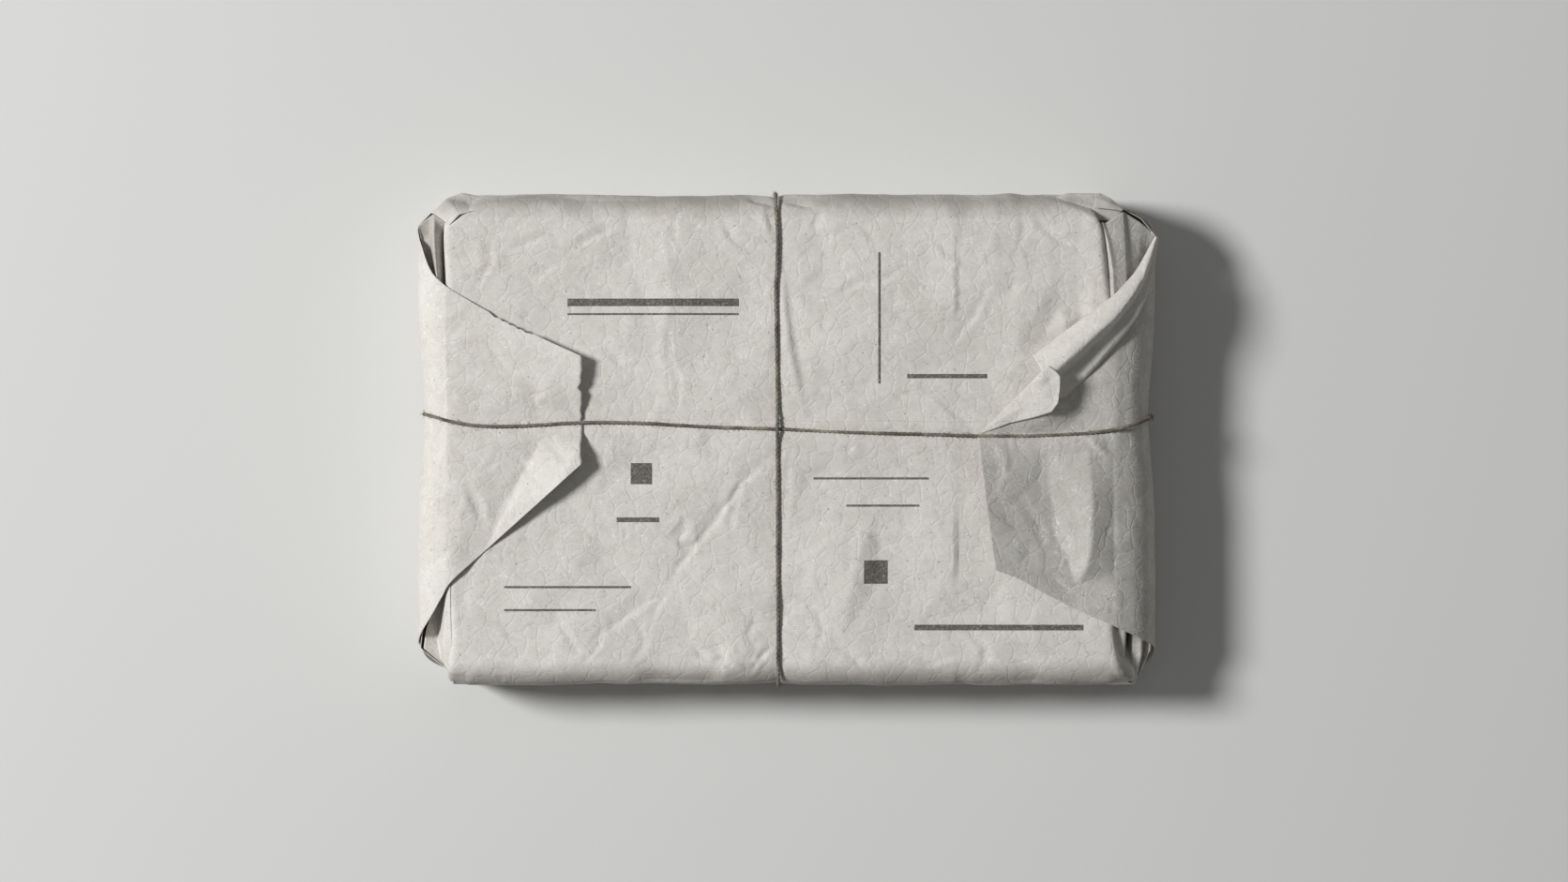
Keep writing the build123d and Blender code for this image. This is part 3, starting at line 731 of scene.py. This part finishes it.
def roll_form(u, v):
    """u runs from the open mouth to the far end, and v round the section."""
    du = 0.01
    ax, ay = roll_x(u + du) - roll_x(u - du), roll_y(u + du) - roll_y(u - du)
    long = np.hypot(ax, ay)
    slack = roll_net(u * 95, v * 60) * smooth(v * 6) * smooth((1 - u) * 4)
    out = roll_out(v) * roll_width(u) + slack * 0.5
    # The free rim at the mouth is cut on a slant.
    slant = (1 - u) ** 6 * (-2.2 * roll_out(v) - 0.4)
    x = roll_x(u) + ay / long * out + ax / long * slant
    y = roll_y(u) - ax / long * out + ay / long * slant
    z = roll_base(u) + roll_up(v) * roll_height(u) + slack
    return x, y, z


roll = mesh_object("rolled_corner", folded_sheet("rolled_corner", roll_form, 110, 110), wrapping)
thicken(roll)

# %% [markdown]
# The leaf is the tip of that corner, turned out flat on the panel beside the mouth of the roll. It and
# the corner pleats are small sheets with few folds, so each is a grid stretched over a net of chosen
# places, whose folds are then softened as paper softens them.

# %% Small folded sheets


def net_form(rows, relief):
    """Points on a net of chosen places, rows of the same number of (x, y, z), with a little relief."""
    net = np.array(rows, float)

    def form(u, v):
        a, b = u * (net.shape[0] - 1), v * (net.shape[1] - 1)
        i = np.clip(a.astype(int), 0, net.shape[0] - 2)
        j = np.clip(b.astype(int), 0, net.shape[1] - 2)
        s, t = (a - i)[:, None], (b - j)[:, None]
        near_side = net[i, j] * (1 - s) + net[i + 1, j] * s
        far_side = net[i, j + 1] * (1 - s) + net[i + 1, j + 1] * s
        x, y, z = (near_side * (1 - t) + far_side * t).T
        return x, y, z + relief(x, y)

    return form


def folded_piece(name, form, columns, rows, softness, finish):
    """A small folded sheet, its folds softened and its paper thickened."""
    bm = folded_sheet(name, form, columns, rows)
    inner = [v for v in bm.verts if not v.is_boundary]
    for _ in range(softness):
        bmesh.ops.smooth_vert(bm, verts=inner, factor=0.5, use_axis_x=True, use_axis_y=True, use_axis_z=True)
    thicken(mesh_object(name, bm, finish))


tiny_crumple = crease_net((-165, -112, 165, 112), 6.5, 0.3, seed=15)

# %% The turned-out leaf
leaf_rows = [
    [(82.2, 3.2, 51.6), (82.3, 2.9, 51.5), (82.6, 2.7, 51.5)],
    [(92.0, 12.9, 54.6), (93.0, 10.0, 54.8), (94.5, 7.1, 53.8)],
    [(100.0, 21.0, 58.6), (102.4, 15.0, 58.6), (104.0, 9.2, 57.0)],
    [(106.0, 27.2, 63.4), (110.0, 20.0, 62.6), (112.0, 11.6, 60.6)],
    [(110.2, 31.4, 64.8), (113.6, 25.0, 65.0), (114.6, 15.4, 62.6)],
]
section_out = np.array([out for _, out, _ in roll_section[1:12]])[::-1]
section_up = np.array([up for _, _, up in roll_section[1:12]])[::-1]
axis = np.array([roll_x(0.3) - roll_x(0), roll_y(0.3) - roll_y(0)])
axis /= np.linalg.norm(axis)


def over_roll(x, y):
    """How high the roll stands at each place near its mouth, 0 beside it."""
    along = (x - roll_x(0)) * axis[0] + (y - roll_y(0)) * axis[1]
    out = ((x - roll_x(0)) * axis[1] - (y - roll_y(0)) * axis[0]) / roll_width(0)
    tall = np.interp(out, section_out, section_up, left=0.0, right=0.0) * roll_height(0)
    return (roll_base(0) - top_z + tall) * smooth((along + 6.5) / 4)


def leaf_form(u, v):
    """u runs from the tip at the twine to the rounded free end, and v across the leaf."""
    x, y, z = net_form(leaf_rows, tiny_crumple)(u, v)
    # The free end is rounded, and its last corner lies beside the mouth of the roll.
    bulge = 2.4 * np.sin(math.pi * v) * smooth((u - 0.7) / 0.3)
    x, y = x + bulge * axis[0], y + bulge * axis[1]
    return x, y, np.maximum(z, top_z + over_roll(x, y) + 0.7)


folded_piece("turned_out_leaf", leaf_form, 40, 24, 6, wrapping)

# %% [markdown]
# The sides of the sheet are pushed in at each corner before the flap comes up over them, which leaves
# a pleat or two standing on edge. Each is a small folded sheet through a few chosen places: rows go
# across the folds, and places along a row go from the corner to where the flap covers it.

# %% The tucked corners
corner_sheets = {
    "corner_back_left": [
        [(-112, 99.5, 1), (-138, 104.2, 1), (-143, 101.5, 1), (-147.5, 96.5, 1)],
        [(-112, 99.5, 22), (-138.5, 105.8, 22), (-147.0, 103.0, 22), (-154.5, 96.2, 22)],
        [(-112, 99.5, 41), (-139.4, 105.9, 41), (-146.0, 103.4, 41.5), (-152.8, 97.0, 42.0)],
        [(-112, 97.5, 44.5), (-134.5, 100.2, 45.2), (-145.0, 101.9, 46.6), (-151.5, 96.6, 45.6)],
        [(-112, 95.0, 47.0), (-134.2, 97.6, 50.4), (-140.0, 96.0, 50.9), (-144.2, 91.6, 50.3)],
    ],
    "wall_back_left": [
        [(-147.5, 96.5, 1), (-149, 89, 1), (-150, 76, 1)],
        [(-154.5, 96.2, 22), (-158.8, 90.6, 22), (-157.5, 76, 22)],
        [(-152.8, 97.0, 42), (-158.2, 91.8, 40.5), (-156.0, 80, 34)],
    ],
    "pleat_back_left": [
        [(-144.4, 91.4, 46), (-144.9, 88, 33), (-145.1, 80, 31), (-145.3, 70, 31), (-145.4, 56, 36)],
        [
            (-151.4, 96.4, 46.2), (-151.3, 88.8, 47.4), (-150.9, 81, 48.0), (-149.9, 70, 48.4),
            (-149.0, 56, 48.6)
        ],
        [(-153.2, 95.6, 42), (-153.6, 88, 38), (-153.0, 80, 36), (-151.6, 70, 37), (-150.6, 56, 39)],
        [(-158.2, 91.9, 40.5), (-157.2, 86, 36), (-156.4, 78, 33), (-155.4, 70, 33), (-154, 56, 36)],
    ],
    "corner_front_left": [
        [(-110, -99.0, 1), (-134, -104.2, 1), (-141, -103.6, 1)],
        [(-110, -99.0, 24), (-134, -105.4, 24), (-142.4, -105.2, 22)],
        [(-110, -99.0, 41), (-134, -104.8, 42), (-143.0, -104.9, 38)],
        [(-110, -99.0, 46.0), (-133, -102.2, 47.8), (-142.2, -101.5, 47.2)],
        [(-110, -94.0, 46.5), (-134, -96.0, 50.0), (-141.4, -90.0, 49.8)],
    ],
    "wall_front_left": [
        [(-141, -103.6, 1), (-143.5, -97, 1), (-148.5, -90, 1), (-149, -76, 1)],
        [(-142.8, -105.2, 22), (-147.0, -98.4, 22), (-158.4, -89.0, 22), (-157.5, -76, 22)],
        [(-143.0, -104.9, 36), (-146.2, -98.6, 37), (-157.6, -89.6, 38), (-156.0, -76, 36)],
    ],
    "pleat_front_left": [
        [(-142.9, -104.6, 38), (-142.0, -98, 38), (-141.7, -88, 38), (-142.8, -76, 40), (-143.4, -62, 46)],
        [
            (-143.1, -104.8, 41), (-142.9, -98, 47.0), (-142.9, -88, 49.2), (-143.7, -76, 49.8),
            (-144, -62, 50)
        ],
        [
            (-143.5, -104.4, 40), (-145.3, -98.4, 46.0), (-146.8, -88, 48.0), (-146.6, -76, 48.2),
            (-145.4, -62, 49)
        ],
        [(-145.6, -99.2, 36), (-148.6, -94.4, 36), (-150.4, -85, 33), (-149.6, -76, 33), (-147.5, -62, 36)],
        [(-147.5, -96.8, 37), (-156.2, -89.6, 38), (-155.4, -82, 35), (-153.6, -76, 35), (-151, -62, 38)],
    ],
    "corner_back_right": [
        [(96, 98.5, 1), (120, 104.6, 1), (134, 104.4, 1), (141, 97.5, 1)],
        [(96, 98.5, 22), (120, 105.8, 22), (134, 105.8, 22), (145.4, 99.6, 22)],
        [(96, 98.5, 42), (120, 105.6, 42), (133.6, 105.4, 42), (143.6, 98.6, 43)],
        [(96, 100.4, 45.5), (119, 102.2, 45.8), (131.4, 99.6, 44.4), (143.2, 97.8, 42.6)],
        [(96, 97.0, 46.0), (117.5, 98.4, 45.6), (130.4, 94.4, 43.0), (140.6, 93.0, 41.0)],
    ],
    "tab_back_right": [
        [(131.2, 99.2, 46.0), (131.4, 103.6, 45.0), (133.4, 105.6, 43.6)],
        [(137.4, 98.6, 45.4), (137.0, 101.2, 46.6), (138.2, 103.0, 45.0)],
        [(143.2, 97.9, 44.6), (143.3, 98.2, 45.6), (143.6, 98.6, 44.8)],
    ],
    "wall_back_right": [
        [(141, 97.5, 1), (147.5, 92, 1), (149.5, 80, 1), (149.5, 66, 1)],
        [(145.4, 99.6, 22), (153.6, 94.0, 22), (157.4, 82, 22), (156.0, 66, 22)],
        [(143.6, 98.6, 43), (151.4, 94.8, 41), (158.6, 86.5, 37.5), (154.8, 70, 36.5)],
    ],
    "pleat_back_right": [
        [(132.3, 92.6, 46), (134.0, 84, 44.5), (135.2, 72, 44.5), (135.8, 58, 46)],
        [(134.4, 92.8, 47.4), (136.8, 84, 48.8), (138.6, 72, 49.4), (139.4, 58, 49.6)],
        [(135.8, 92.6, 46.2), (138.6, 84, 47.4), (140.4, 72, 48.2), (141.0, 58, 48.6)],
        [(143.4, 97.4, 44.0), (144.2, 86, 45.2), (144.6, 74, 46.4), (145, 58, 47.2)],
        [(144.4, 97.3, 42.4), (145.2, 86, 43.2), (145.6, 74, 44.2), (146, 58, 45.6)],
        [(151.0, 93.2, 40.6), (151.0, 84, 40.6), (149.8, 74, 41.6), (149.4, 58, 43.4)],
        [(157.8, 87.8, 37.4), (155.0, 80, 36.8), (153.0, 74, 38.2), (152, 58, 41)],
    ],
    "corner_front_right": [
        [(108, -99.0, 1), (136, -104.4, 1), (146, -103.8, 1)],
        [(108, -99.0, 24), (138, -105.4, 24), (148.8, -105.4, 22)],
        [(108, -99.0, 41), (138, -105.0, 41), (148.4, -105.0, 34)],
        [(108, -99.0, 46.0), (136, -102.4, 47.4), (143.0, -102.8, 44.0)],
        [(108, -94.0, 46.5), (133, -96.4, 49.9), (140.2, -97.0, 48.5)],
    ],
    "wall_front_right": [
        [(146, -103.8, 1), (149, -97, 1), (150, -86, 1), (149, -74, 1)],
        [(149.2, -105.2, 22), (153.8, -98, 22), (157.6, -88, 22), (157.5, -74, 22)],
        [(148.8, -104.9, 34), (151.6, -99, 36), (155.4, -90.6, 37.5), (156.0, -78, 36)],
    ],
    "pleat_front_right": [
        [(139.6, -98.6, 44), (139.2, -92, 45.0), (138.6, -82, 47), (138.6, -70, 48)],
        [(141.6, -101.4, 41.5), (144.0, -92, 44.0), (144.6, -82, 46), (144.6, -70, 47)],
        [(143.2, -102.0, 33), (145.4, -92, 30), (146.2, -82, 30), (146.6, -70, 34)],
        [(147.8, -104.8, 36), (147.6, -92, 41.0), (147.4, -82, 42.6), (147.4, -70, 42)],
        [(148.8, -104.9, 37), (151.6, -92, 41.0), (151.8, -82, 40.4), (150.6, -70, 40)],
        [(149.6, -103.6, 33), (152.6, -92, 34), (153.0, -82, 34), (152.6, -70, 34)],
        [(151.6, -99.2, 36), (155.2, -90.8, 37.6), (155.8, -82, 37), (155.8, -70, 36)],
    ],
}
# the walls and pleats in the back tucks take the darker copy of the paper, as painted shade in the recesses
in_painted_shade = ("wall_back_left", "wall_back_right", "pleat_back_right", "pleat_back_left")
for name, rows in corner_sheets.items():
    finish = shaded_paper if name in in_painted_shade else wrapping
    across_folds, along_folds = 12 * (len(rows) - 1) + 1, 14 * (len(rows[0]) - 1) + 1
    folded_piece(name, net_form(rows, tiny_crumple), across_folds, along_folds, 3, finish)

# %% [markdown]
# The long edge of the sheet lies on top as an overlap. It is a strip of paper whose free edge shows
# beside the long twine, and which runs into the panel under it.

# %% The overlap of the wrapper
overlap_width = 30


def overlap_form(u, v):
    """u runs along the parcel, and v from the free edge to where the strip is under the panel."""
    x = -112 + 222 * u
    y = 8.4 - 0.5 * np.sin(x / 31) - 0.35 * np.sin(x / 9.0) - overlap_width * v
    z = top_z + crumple(x, y) + small_crumple(x, y) + swell(x, y)
    rise = 0.75 * (1 - smooth((v - 0.25) / 0.5)) - 0.3 * smooth((v - 0.5) / 0.5)
    spring = (0.35 * np.sin(x / 13) * np.sin(x / 37 + 1) - 0.35) * np.exp(-((v / 0.07) ** 2))
    return x, y, z + rise + spring - twine_pull(x, y, np.full_like(x, top_z), y) * 0.8


overlap = mesh_object("overlap", folded_sheet("overlap", overlap_form, 200, 28), wrapping)
thicken(overlap, 0.25)

# %% [markdown]
# The sender's print is reduced to plain rules and blocks in grey ink. Each is a thin grid laid on the
# paper: every place drops straight down onto the sheet below it and stops just above.

# %% The ink


def ink_finish(name):
    """Grey letterpress ink, matt, that has taken unevenly on the rough paper."""
    material = bpy.data.materials.new(name)
    material.use_nodes = True
    tree = material.node_tree
    shader = tree.nodes["Principled BSDF"]
    shader.inputs["Roughness"].default_value = 0.75
    where = add_node(tree, "ShaderNodeTexCoord").outputs["Object"]
    taken = add_node(tree, "ShaderNodeTexNoise", i0=where, Scale=1 / (0.9 * MM), Detail=3.0, Roughness=0.7)
    stops = [(0.36, srgb("#4E4B47")), (0.54, srgb("#68655F")), (0.68, srgb("#95918A"))]
    colour = add_node(tree, "ShaderNodeValToRGB", stops=stops, i0=taken).outputs[0]
    tree.links.new(colour, shader.inputs["Base Color"])
    return material


# %% The printed rules
sheets = bmesh.new()
for piece in (wrapper, overlap):
    sheets.from_mesh(piece.data)
ground = BVHTree.FromBMesh(sheets)
sheets.free()
ink_height = 0.2


def print_mark(bm, form, columns, rows):
    """A grid on the paper: form gives x and y in millimetres, and the paper gives the height."""
    new = bmesh.ops.create_grid(bm, x_segments=columns, y_segments=rows, size=0.5)["verts"]
    for vert in new:
        x, y = form(vert.co.x + 0.5, vert.co.y + 0.5)
        hit = ground.ray_cast(Vector((x, y, 90.0)) * MM, Vector((0, 0, -1)))[0]
        vert.co = (x * MM, y * MM, hit.z + ink_height * MM)


# Each mark is (left, front, right, back).
rules = [
    (-94, 57.0, -21, 60.2), (-94, 53.2, -21, 54.0), (-73, -35.2, -55, -33.2),
    (-121, -63.4, -67, -62.5), (-121, -73.2, -82, -72.3), (38.6, 24, 39.5, 80),
    (51, 26.2, 85, 28.0), (11, -17.0, 60, -16.1), (25, -28.6, 56, -27.7), (54, -81.4, 126, -79.0),
    (-67, -19, -58, -10), (32.5, -61.5, 42.5, -51.5),
]
rules_mesh = bmesh.new()
for x0, y0, x1, y1 in rules:
    wide, tall = max(1, round((x1 - x0) / sheet_step)), max(1, round((y1 - y0) / sheet_step))
    print_mark(rules_mesh, lambda u, v: (x0 + (x1 - x0) * u, y0 + (y1 - y0) * v), wide, tall)
print("printed_rules", len(rules_mesh.faces), "faces")
mesh_object("printed_rules", rules_mesh, ink_finish("grey_letterpress_ink"))

# %% [markdown]
# The twine is two loops of three-ply cotton, knotted underneath. Each ply is a round thread that
# winds round the line of the twine, so the lay is real geometry and catches the light as strands do.
# The line of each loop is a list of chosen places: under the parcel, up one end or side, over the top
# and down again. On top it bites into the paper, and it rides over itself at the crossing.

# %% The route of the long loop
twine_z = top_z + 0.5
on_flap = twine_z + 1.45  # the height of the line where it lies on a flap
loop_long = [
    (-4, 5, 1.15), (-80, 7, 1.15), (-138, 10, 1.3), (-150.5, 11, 5), (-156.2, 11, 14), (-156.8, 11, 26),
    (-156.0, 11, 35), (-153.4, 10.4, 44), (-148.5, 9, 49.6), (-142, 7.2, 52.4),
]
loop_long += [(x, float(long_twine_y(x)), 52.0) for x in (-131, -118, -104, -94)]
loop_long += [(-88.4, 7.2, 52.0), (-85.2, 7.25, 51.3)]
on_panel = (-76, -60, -44, -28, -14, -5, 6, 20, 36, 52, 66, 76)
loop_long += [(x, float(long_twine_y(x)), twine_z + 0.75) for x in on_panel]
loop_long += [(x, float(long_twine_y(x)), on_flap) for x in (82, 94, 106, 118, 128, 136)]
loop_long += [
    (143, 5.0, 52.3), (149.5, 7.0, 50.2), (154.4, 8.9, 44.6), (156.6, 9.7, 35), (157.0, 9.7, 26),
    (156.0, 9.7, 14), (151, 9.7, 4.6), (141, 9.4, 1.3), (80, 7, 1.15), (-5, 4.6, 1.15),
]

# %% The route of the cross loop
wander = line_through([(-106, -4.0), (-60, -4.3), (8, -4.4), (49, -4.8), (68, -5.2), (76, -4.4), (106, -5.2)])
loop_cross = [
    (-4.6, 3, 1.15), (-4.6, -50, 1.15), (-4.4, -94, 1.2), (-4.2, -101.5, 2.4), (-4.0, -105.0, 7.0),
    (-4.0, -105.4, 16), (-4.0, -105.5, 26), (-4.0, -105.4, 38), (-4.1, -104.6, 46), (-4.1, -100.6, 50.0),
    (-4.2, -94, 50.6),
]
loop_cross += [(float(wander(y)), y, twine_z + 0.2) for y in (-84, -70, -56, -42, -28, -14)]
over_crossing = ((-4, twine_z + 0.9), (0.5, 52.5), (4.6, 53.4), (8.6, 52.5))
loop_cross += [(-4.4, y, z) for y, z in over_crossing] + [(-4.5, 13, twine_z + 0.8)]
loop_cross += [(float(wander(y)), y, twine_z + 0.25) for y in (22, 34, 48, 62, 76, 88)]
loop_cross += [
    (-4.9, 96, 50.6), (-5.1, 101.5, 49.3), (-5.2, 105.0, 45), (-5.2, 105.5, 36), (-5.2, 105.5, 22),
    (-5.0, 104.8, 8), (-4.8, 101.5, 2.4), (-4.6, 94, 1.2), (-4.6, 50, 1.15), (-4.6, 6, 1.15),
]
print("route of", len(loop_long), "and", len(loop_cross), "places")

# %% Lines and threads


def smooth_line(points, order=3):
    """Places along a smooth line near chosen points, read from a NURBS spline."""
    data = bpy.data.curves.new("route", "CURVE")
    data.dimensions = "3D"
    data.resolution_u = 16
    spline = data.splines.new("NURBS")
    spline.points.add(len(points) - 1)
    for point, place in zip(spline.points, points):
        point.co = (*[c * MM for c in place], 1)
    spline.order_u = order
    spline.use_endpoint_u = True
    carrier = bpy.data.objects.new("route", data)
    bpy.context.collection.objects.link(carrier)
    mesh = bpy.data.meshes.new_from_object(carrier)
    line = np.array([v.co for v in mesh.vertices]) / MM
    bpy.data.objects.remove(carrier)
    bpy.data.curves.remove(data)
    bpy.data.meshes.remove(mesh)
    return line


def even(line, spacing):
    """The same line with its places evenly spaced."""
    far = np.concatenate(([0], np.cumsum(np.linalg.norm(np.diff(line, axis=0), axis=1))))
    at = np.arange(0, far[-1], spacing)
    return np.column_stack([np.interp(at, far, line[:, k]) for k in range(3)])


def frames(line):
    """The direction of the line at each place, and two across it that turn as little as they can."""
    ahead = np.gradient(line, axis=0)
    ahead /= np.linalg.norm(ahead, axis=1)[:, None]
    across = np.zeros_like(line)
    across[0] = np.cross(ahead[0], (0.1, 0.2, 1.0))
    for k in range(1, len(line)):
        across[k] = across[k - 1] - ahead[k] * np.dot(across[k - 1], ahead[k])
    across /= np.linalg.norm(across, axis=1)[:, None]
    return ahead, across, np.cross(ahead, across)


def threads(name, lines, radius, material, resolution=2):
    """Round threads of a given radius along lines, as one mesh."""
    data = bpy.data.curves.new(name, "CURVE")
    data.dimensions = "3D"
    data.bevel_depth = radius * MM
    data.bevel_resolution = resolution
    data.use_fill_caps = True
    for line in lines:
        spline = data.splines.new("POLY")
        spline.points.add(len(line) - 1)
        spline.points.foreach_set("co", np.column_stack((line * MM, np.ones(len(line)))).ravel())
    carrier = bpy.data.objects.new(name, data)
    bpy.context.collection.objects.link(carrier)
    mesh = bpy.data.meshes.new_from_object(carrier)
    mesh.name = name
    bpy.data.objects.remove(carrier)
    mesh.materials.clear()
    mesh.materials.append(material)
    mesh.shade_smooth()
    piece = bpy.data.objects.new(name, mesh)
    bpy.context.collection.objects.link(piece)
    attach(piece, "root")
    print(name, len(mesh.polygons), "faces")
    return piece


# %% The finish of the twine


def cotton(name):
    """Waxed cotton and jute twine: matt, and uneven in tone along each ply."""
    material = bpy.data.materials.new(name)
    material.use_nodes = True
    tree = material.node_tree
    shader = tree.nodes["Principled BSDF"]
    shader.inputs["Roughness"].default_value = 0.9
    shader.inputs["Specular IOR Level"].default_value = 0.2
    where = add_node(tree, "ShaderNodeTexCoord").outputs["Object"]
    long = add_node(tree, "ShaderNodeTexNoise", i0=where, Scale=1 / (6 * MM), Detail=3.0)
    short = add_node(tree, "ShaderNodeTexNoise", i0=where, Scale=1 / (0.5 * MM), Detail=2.0)
    tone = add_node(tree, "ShaderNodeMix", {"data_type": "FLOAT"}, i0=0.5, i2=long, i3=short)
    colour = add_node(
        tree, "ShaderNodeValToRGB",
        stops=[(0.35, srgb("#4E4942")), (0.5, srgb("#7A7469")), (0.66, srgb("#A59E91"))], i0=tone
    ).outputs[0]
    tree.links.new(colour, shader.inputs["Base Color"])
    bump = add_node(tree, "ShaderNodeBump", Strength=0.6, Distance=0.12 * MM, Height=short)
    tree.links.new(bump.outputs[0], shader.inputs["Normal"])
    return material


twine_finish = cotton("cotton_jute_twine")

# %% The twine
ply_radius = 0.43
ply_reach = 0.4  # from the line of the twine to the middle of a ply
ply_turn = 6.2  # length of one turn of the lay
twine_step = 0.75
plies = []
centre_lines = []
for route in (loop_long, loop_cross):
    line = even(smooth_line(route), twine_step)
    centre_lines.append(line)
    _, across, other = frames(line)
    length = np.arange(len(line)) * twine_step
    for k in range(3):
        turn = 2 * math.pi * (length / ply_turn + k / 3)
        reach = ply_reach + 0.04 * np.sin(length / 2.3 + k * 2)
        out = across * np.cos(turn)[:, None] + other * np.sin(turn)[:, None]
        plies.append(line + out * reach[:, None])
    print("loop of", round(len(line) * twine_step / 1000, 3), "m")
twine = threads("twine", plies, ply_radius, twine_finish)

# %% [markdown]
# Fibres work out of the lay of any natural twine. They are short, bent and very thin, about one in
# each millimetre, and they soften its outline against the paper.

# %% The loose fibres
fibres_per_mm = 1.1
fibre_radius = 0.045
fibres = []
for line in centre_lines:
    ahead, across, other = frames(line)
    for _ in range(int(len(line) * twine_step * fibres_per_mm)):
        k = random.randrange(4, len(line) - 4)
        turn = random.uniform(0, 2 * math.pi)
        out = across[k] * math.cos(turn) + other[k] * math.sin(turn)
        along = ahead[k] * random.uniform(-1, 1)
        start = line[k] + out * 0.8
        reach = random.uniform(0.5, 1.7)
        bend = np.array([random.uniform(-0.4, 0.4) for _ in range(3)])
        middle = start + (out * 0.6 + along) * reach * 0.5
        fibre = np.array([start, middle, start + (out * 0.8 + along * 1.6 + bend) * reach])
        fibre[:, 2] = np.maximum(fibre[:, 2], 0.1)
        fibres.append(fibre)
threads("twine_fibres", fibres, fibre_radius, twine_finish, 0)

# %% [markdown]
# The knot lies underneath, where the loops meet, in a hollow of the paper. Two rings cross through
# each other, each a little past a full turn, and two short tails run out flat beside them.

# %% The knot
knot_x, knot_y = cross_x, 4.3
knot_lines = []
for radius, tilt, lift in ((2.5, 0.5, 2.2), (2.1, -0.6, 2.6)):
    ring = []
    for k in range(40):
        turn = 2 * math.pi * k / 36
        x = knot_x + radius * math.cos(turn)
        y = knot_y + 1.05 * radius * math.sin(turn)
        ring.append((x, y, lift + 1.1 * math.sin(turn * 2 + tilt)))
    knot_lines.append(np.array(ring))
for side, slope in ((1, 0.78), (-1, -0.78)):
    middle = (knot_x + 6 * side, knot_y + 6 * slope, 1.2)
    tail = [(knot_x, knot_y, 1.6), middle, (knot_x + 13 * side, knot_y + 10.5 * slope, 1.15)]
    knot_lines.append(even(smooth_line(tail), twine_step))
knot_radius = 0.95  # the plies are pulled tight here, into one round cord
threads("twine_knot", knot_lines, knot_radius, twine_finish, 3)

# %% [markdown]
# The creased wrapper stands for the plain CAD parcel and the laid strands for the plain CAD string,
# so neither CAD solid is shown.

# %% What the pieces stand for
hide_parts("wrapped_parcel")
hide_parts("string")
print("CAD solids replaced: wrapped_parcel, string")

# %% [markdown]
# A pale floor, one soft lamp on the left at a height of 45 degrees, which gives every crease a light
# and a dark side, and a weak sky that keeps the shadows open.

# %% The floor
bpy.ops.mesh.primitive_plane_add(size=6, location=(0, 0, 0))
floor = bpy.context.object
floor.name = "floor"
floor_finish = bpy.data.materials.new("pale_floor")
floor_finish.use_nodes = True
floor_finish.node_tree.nodes["Principled BSDF"].inputs["Base Color"].default_value = srgb("#D8D8D6")
floor_finish.node_tree.nodes["Principled BSDF"].inputs["Roughness"].default_value = 0.9
floor.data.materials.append(floor_finish)
print("floor")

# %% The lamps


def lamp(name, place, size, power):
    """A round soft lamp of a given diameter in metres and power in watts, aimed at the parcel."""
    data = bpy.data.lights.new(name, "AREA")
    data.shape = "DISK"
    data.size = size
    data.energy = power
    light = bpy.data.objects.new(name, data)
    light.location = place
    light.rotation_euler = Vector(place).to_track_quat("Z", "Y").to_euler()
    bpy.context.collection.objects.link(light)


lamp("key", (-2.36, 0.6, 2.45), 0.8, 114)
lamp("fill", (0.4, 0.9, 2.2), 1.4, 2)
world = bpy.data.worlds.new("sky")
world.use_nodes = True
world.node_tree.nodes["Background"].inputs["Color"].default_value = (1, 1, 1, 1)
world.node_tree.nodes["Background"].inputs["Strength"].default_value = 0.13
bpy.context.scene.world = world
bpy.context.scene.view_settings.view_transform = "Standard"
print("two lamps and a sky")

# %% The camera
# It looks straight down from a little off the middle of the parcel. The lens is worked out from the
# width in metres that is seen at the height of the top panel.
camera_height = 2.2
seen_width = 0.669
camera_data = bpy.data.cameras.new("camera")
camera_data.sensor_width = 36
camera_data.lens = camera_data.sensor_width * (camera_height - top_z * MM) / seen_width
camera = bpy.data.objects.new("camera", camera_data)
camera.location = (-1.6 * MM, -0.6 * MM, camera_height)
bpy.context.collection.objects.link(camera)
bpy.context.scene.camera = camera
print("lens of", round(camera_data.lens, 1), "mm")
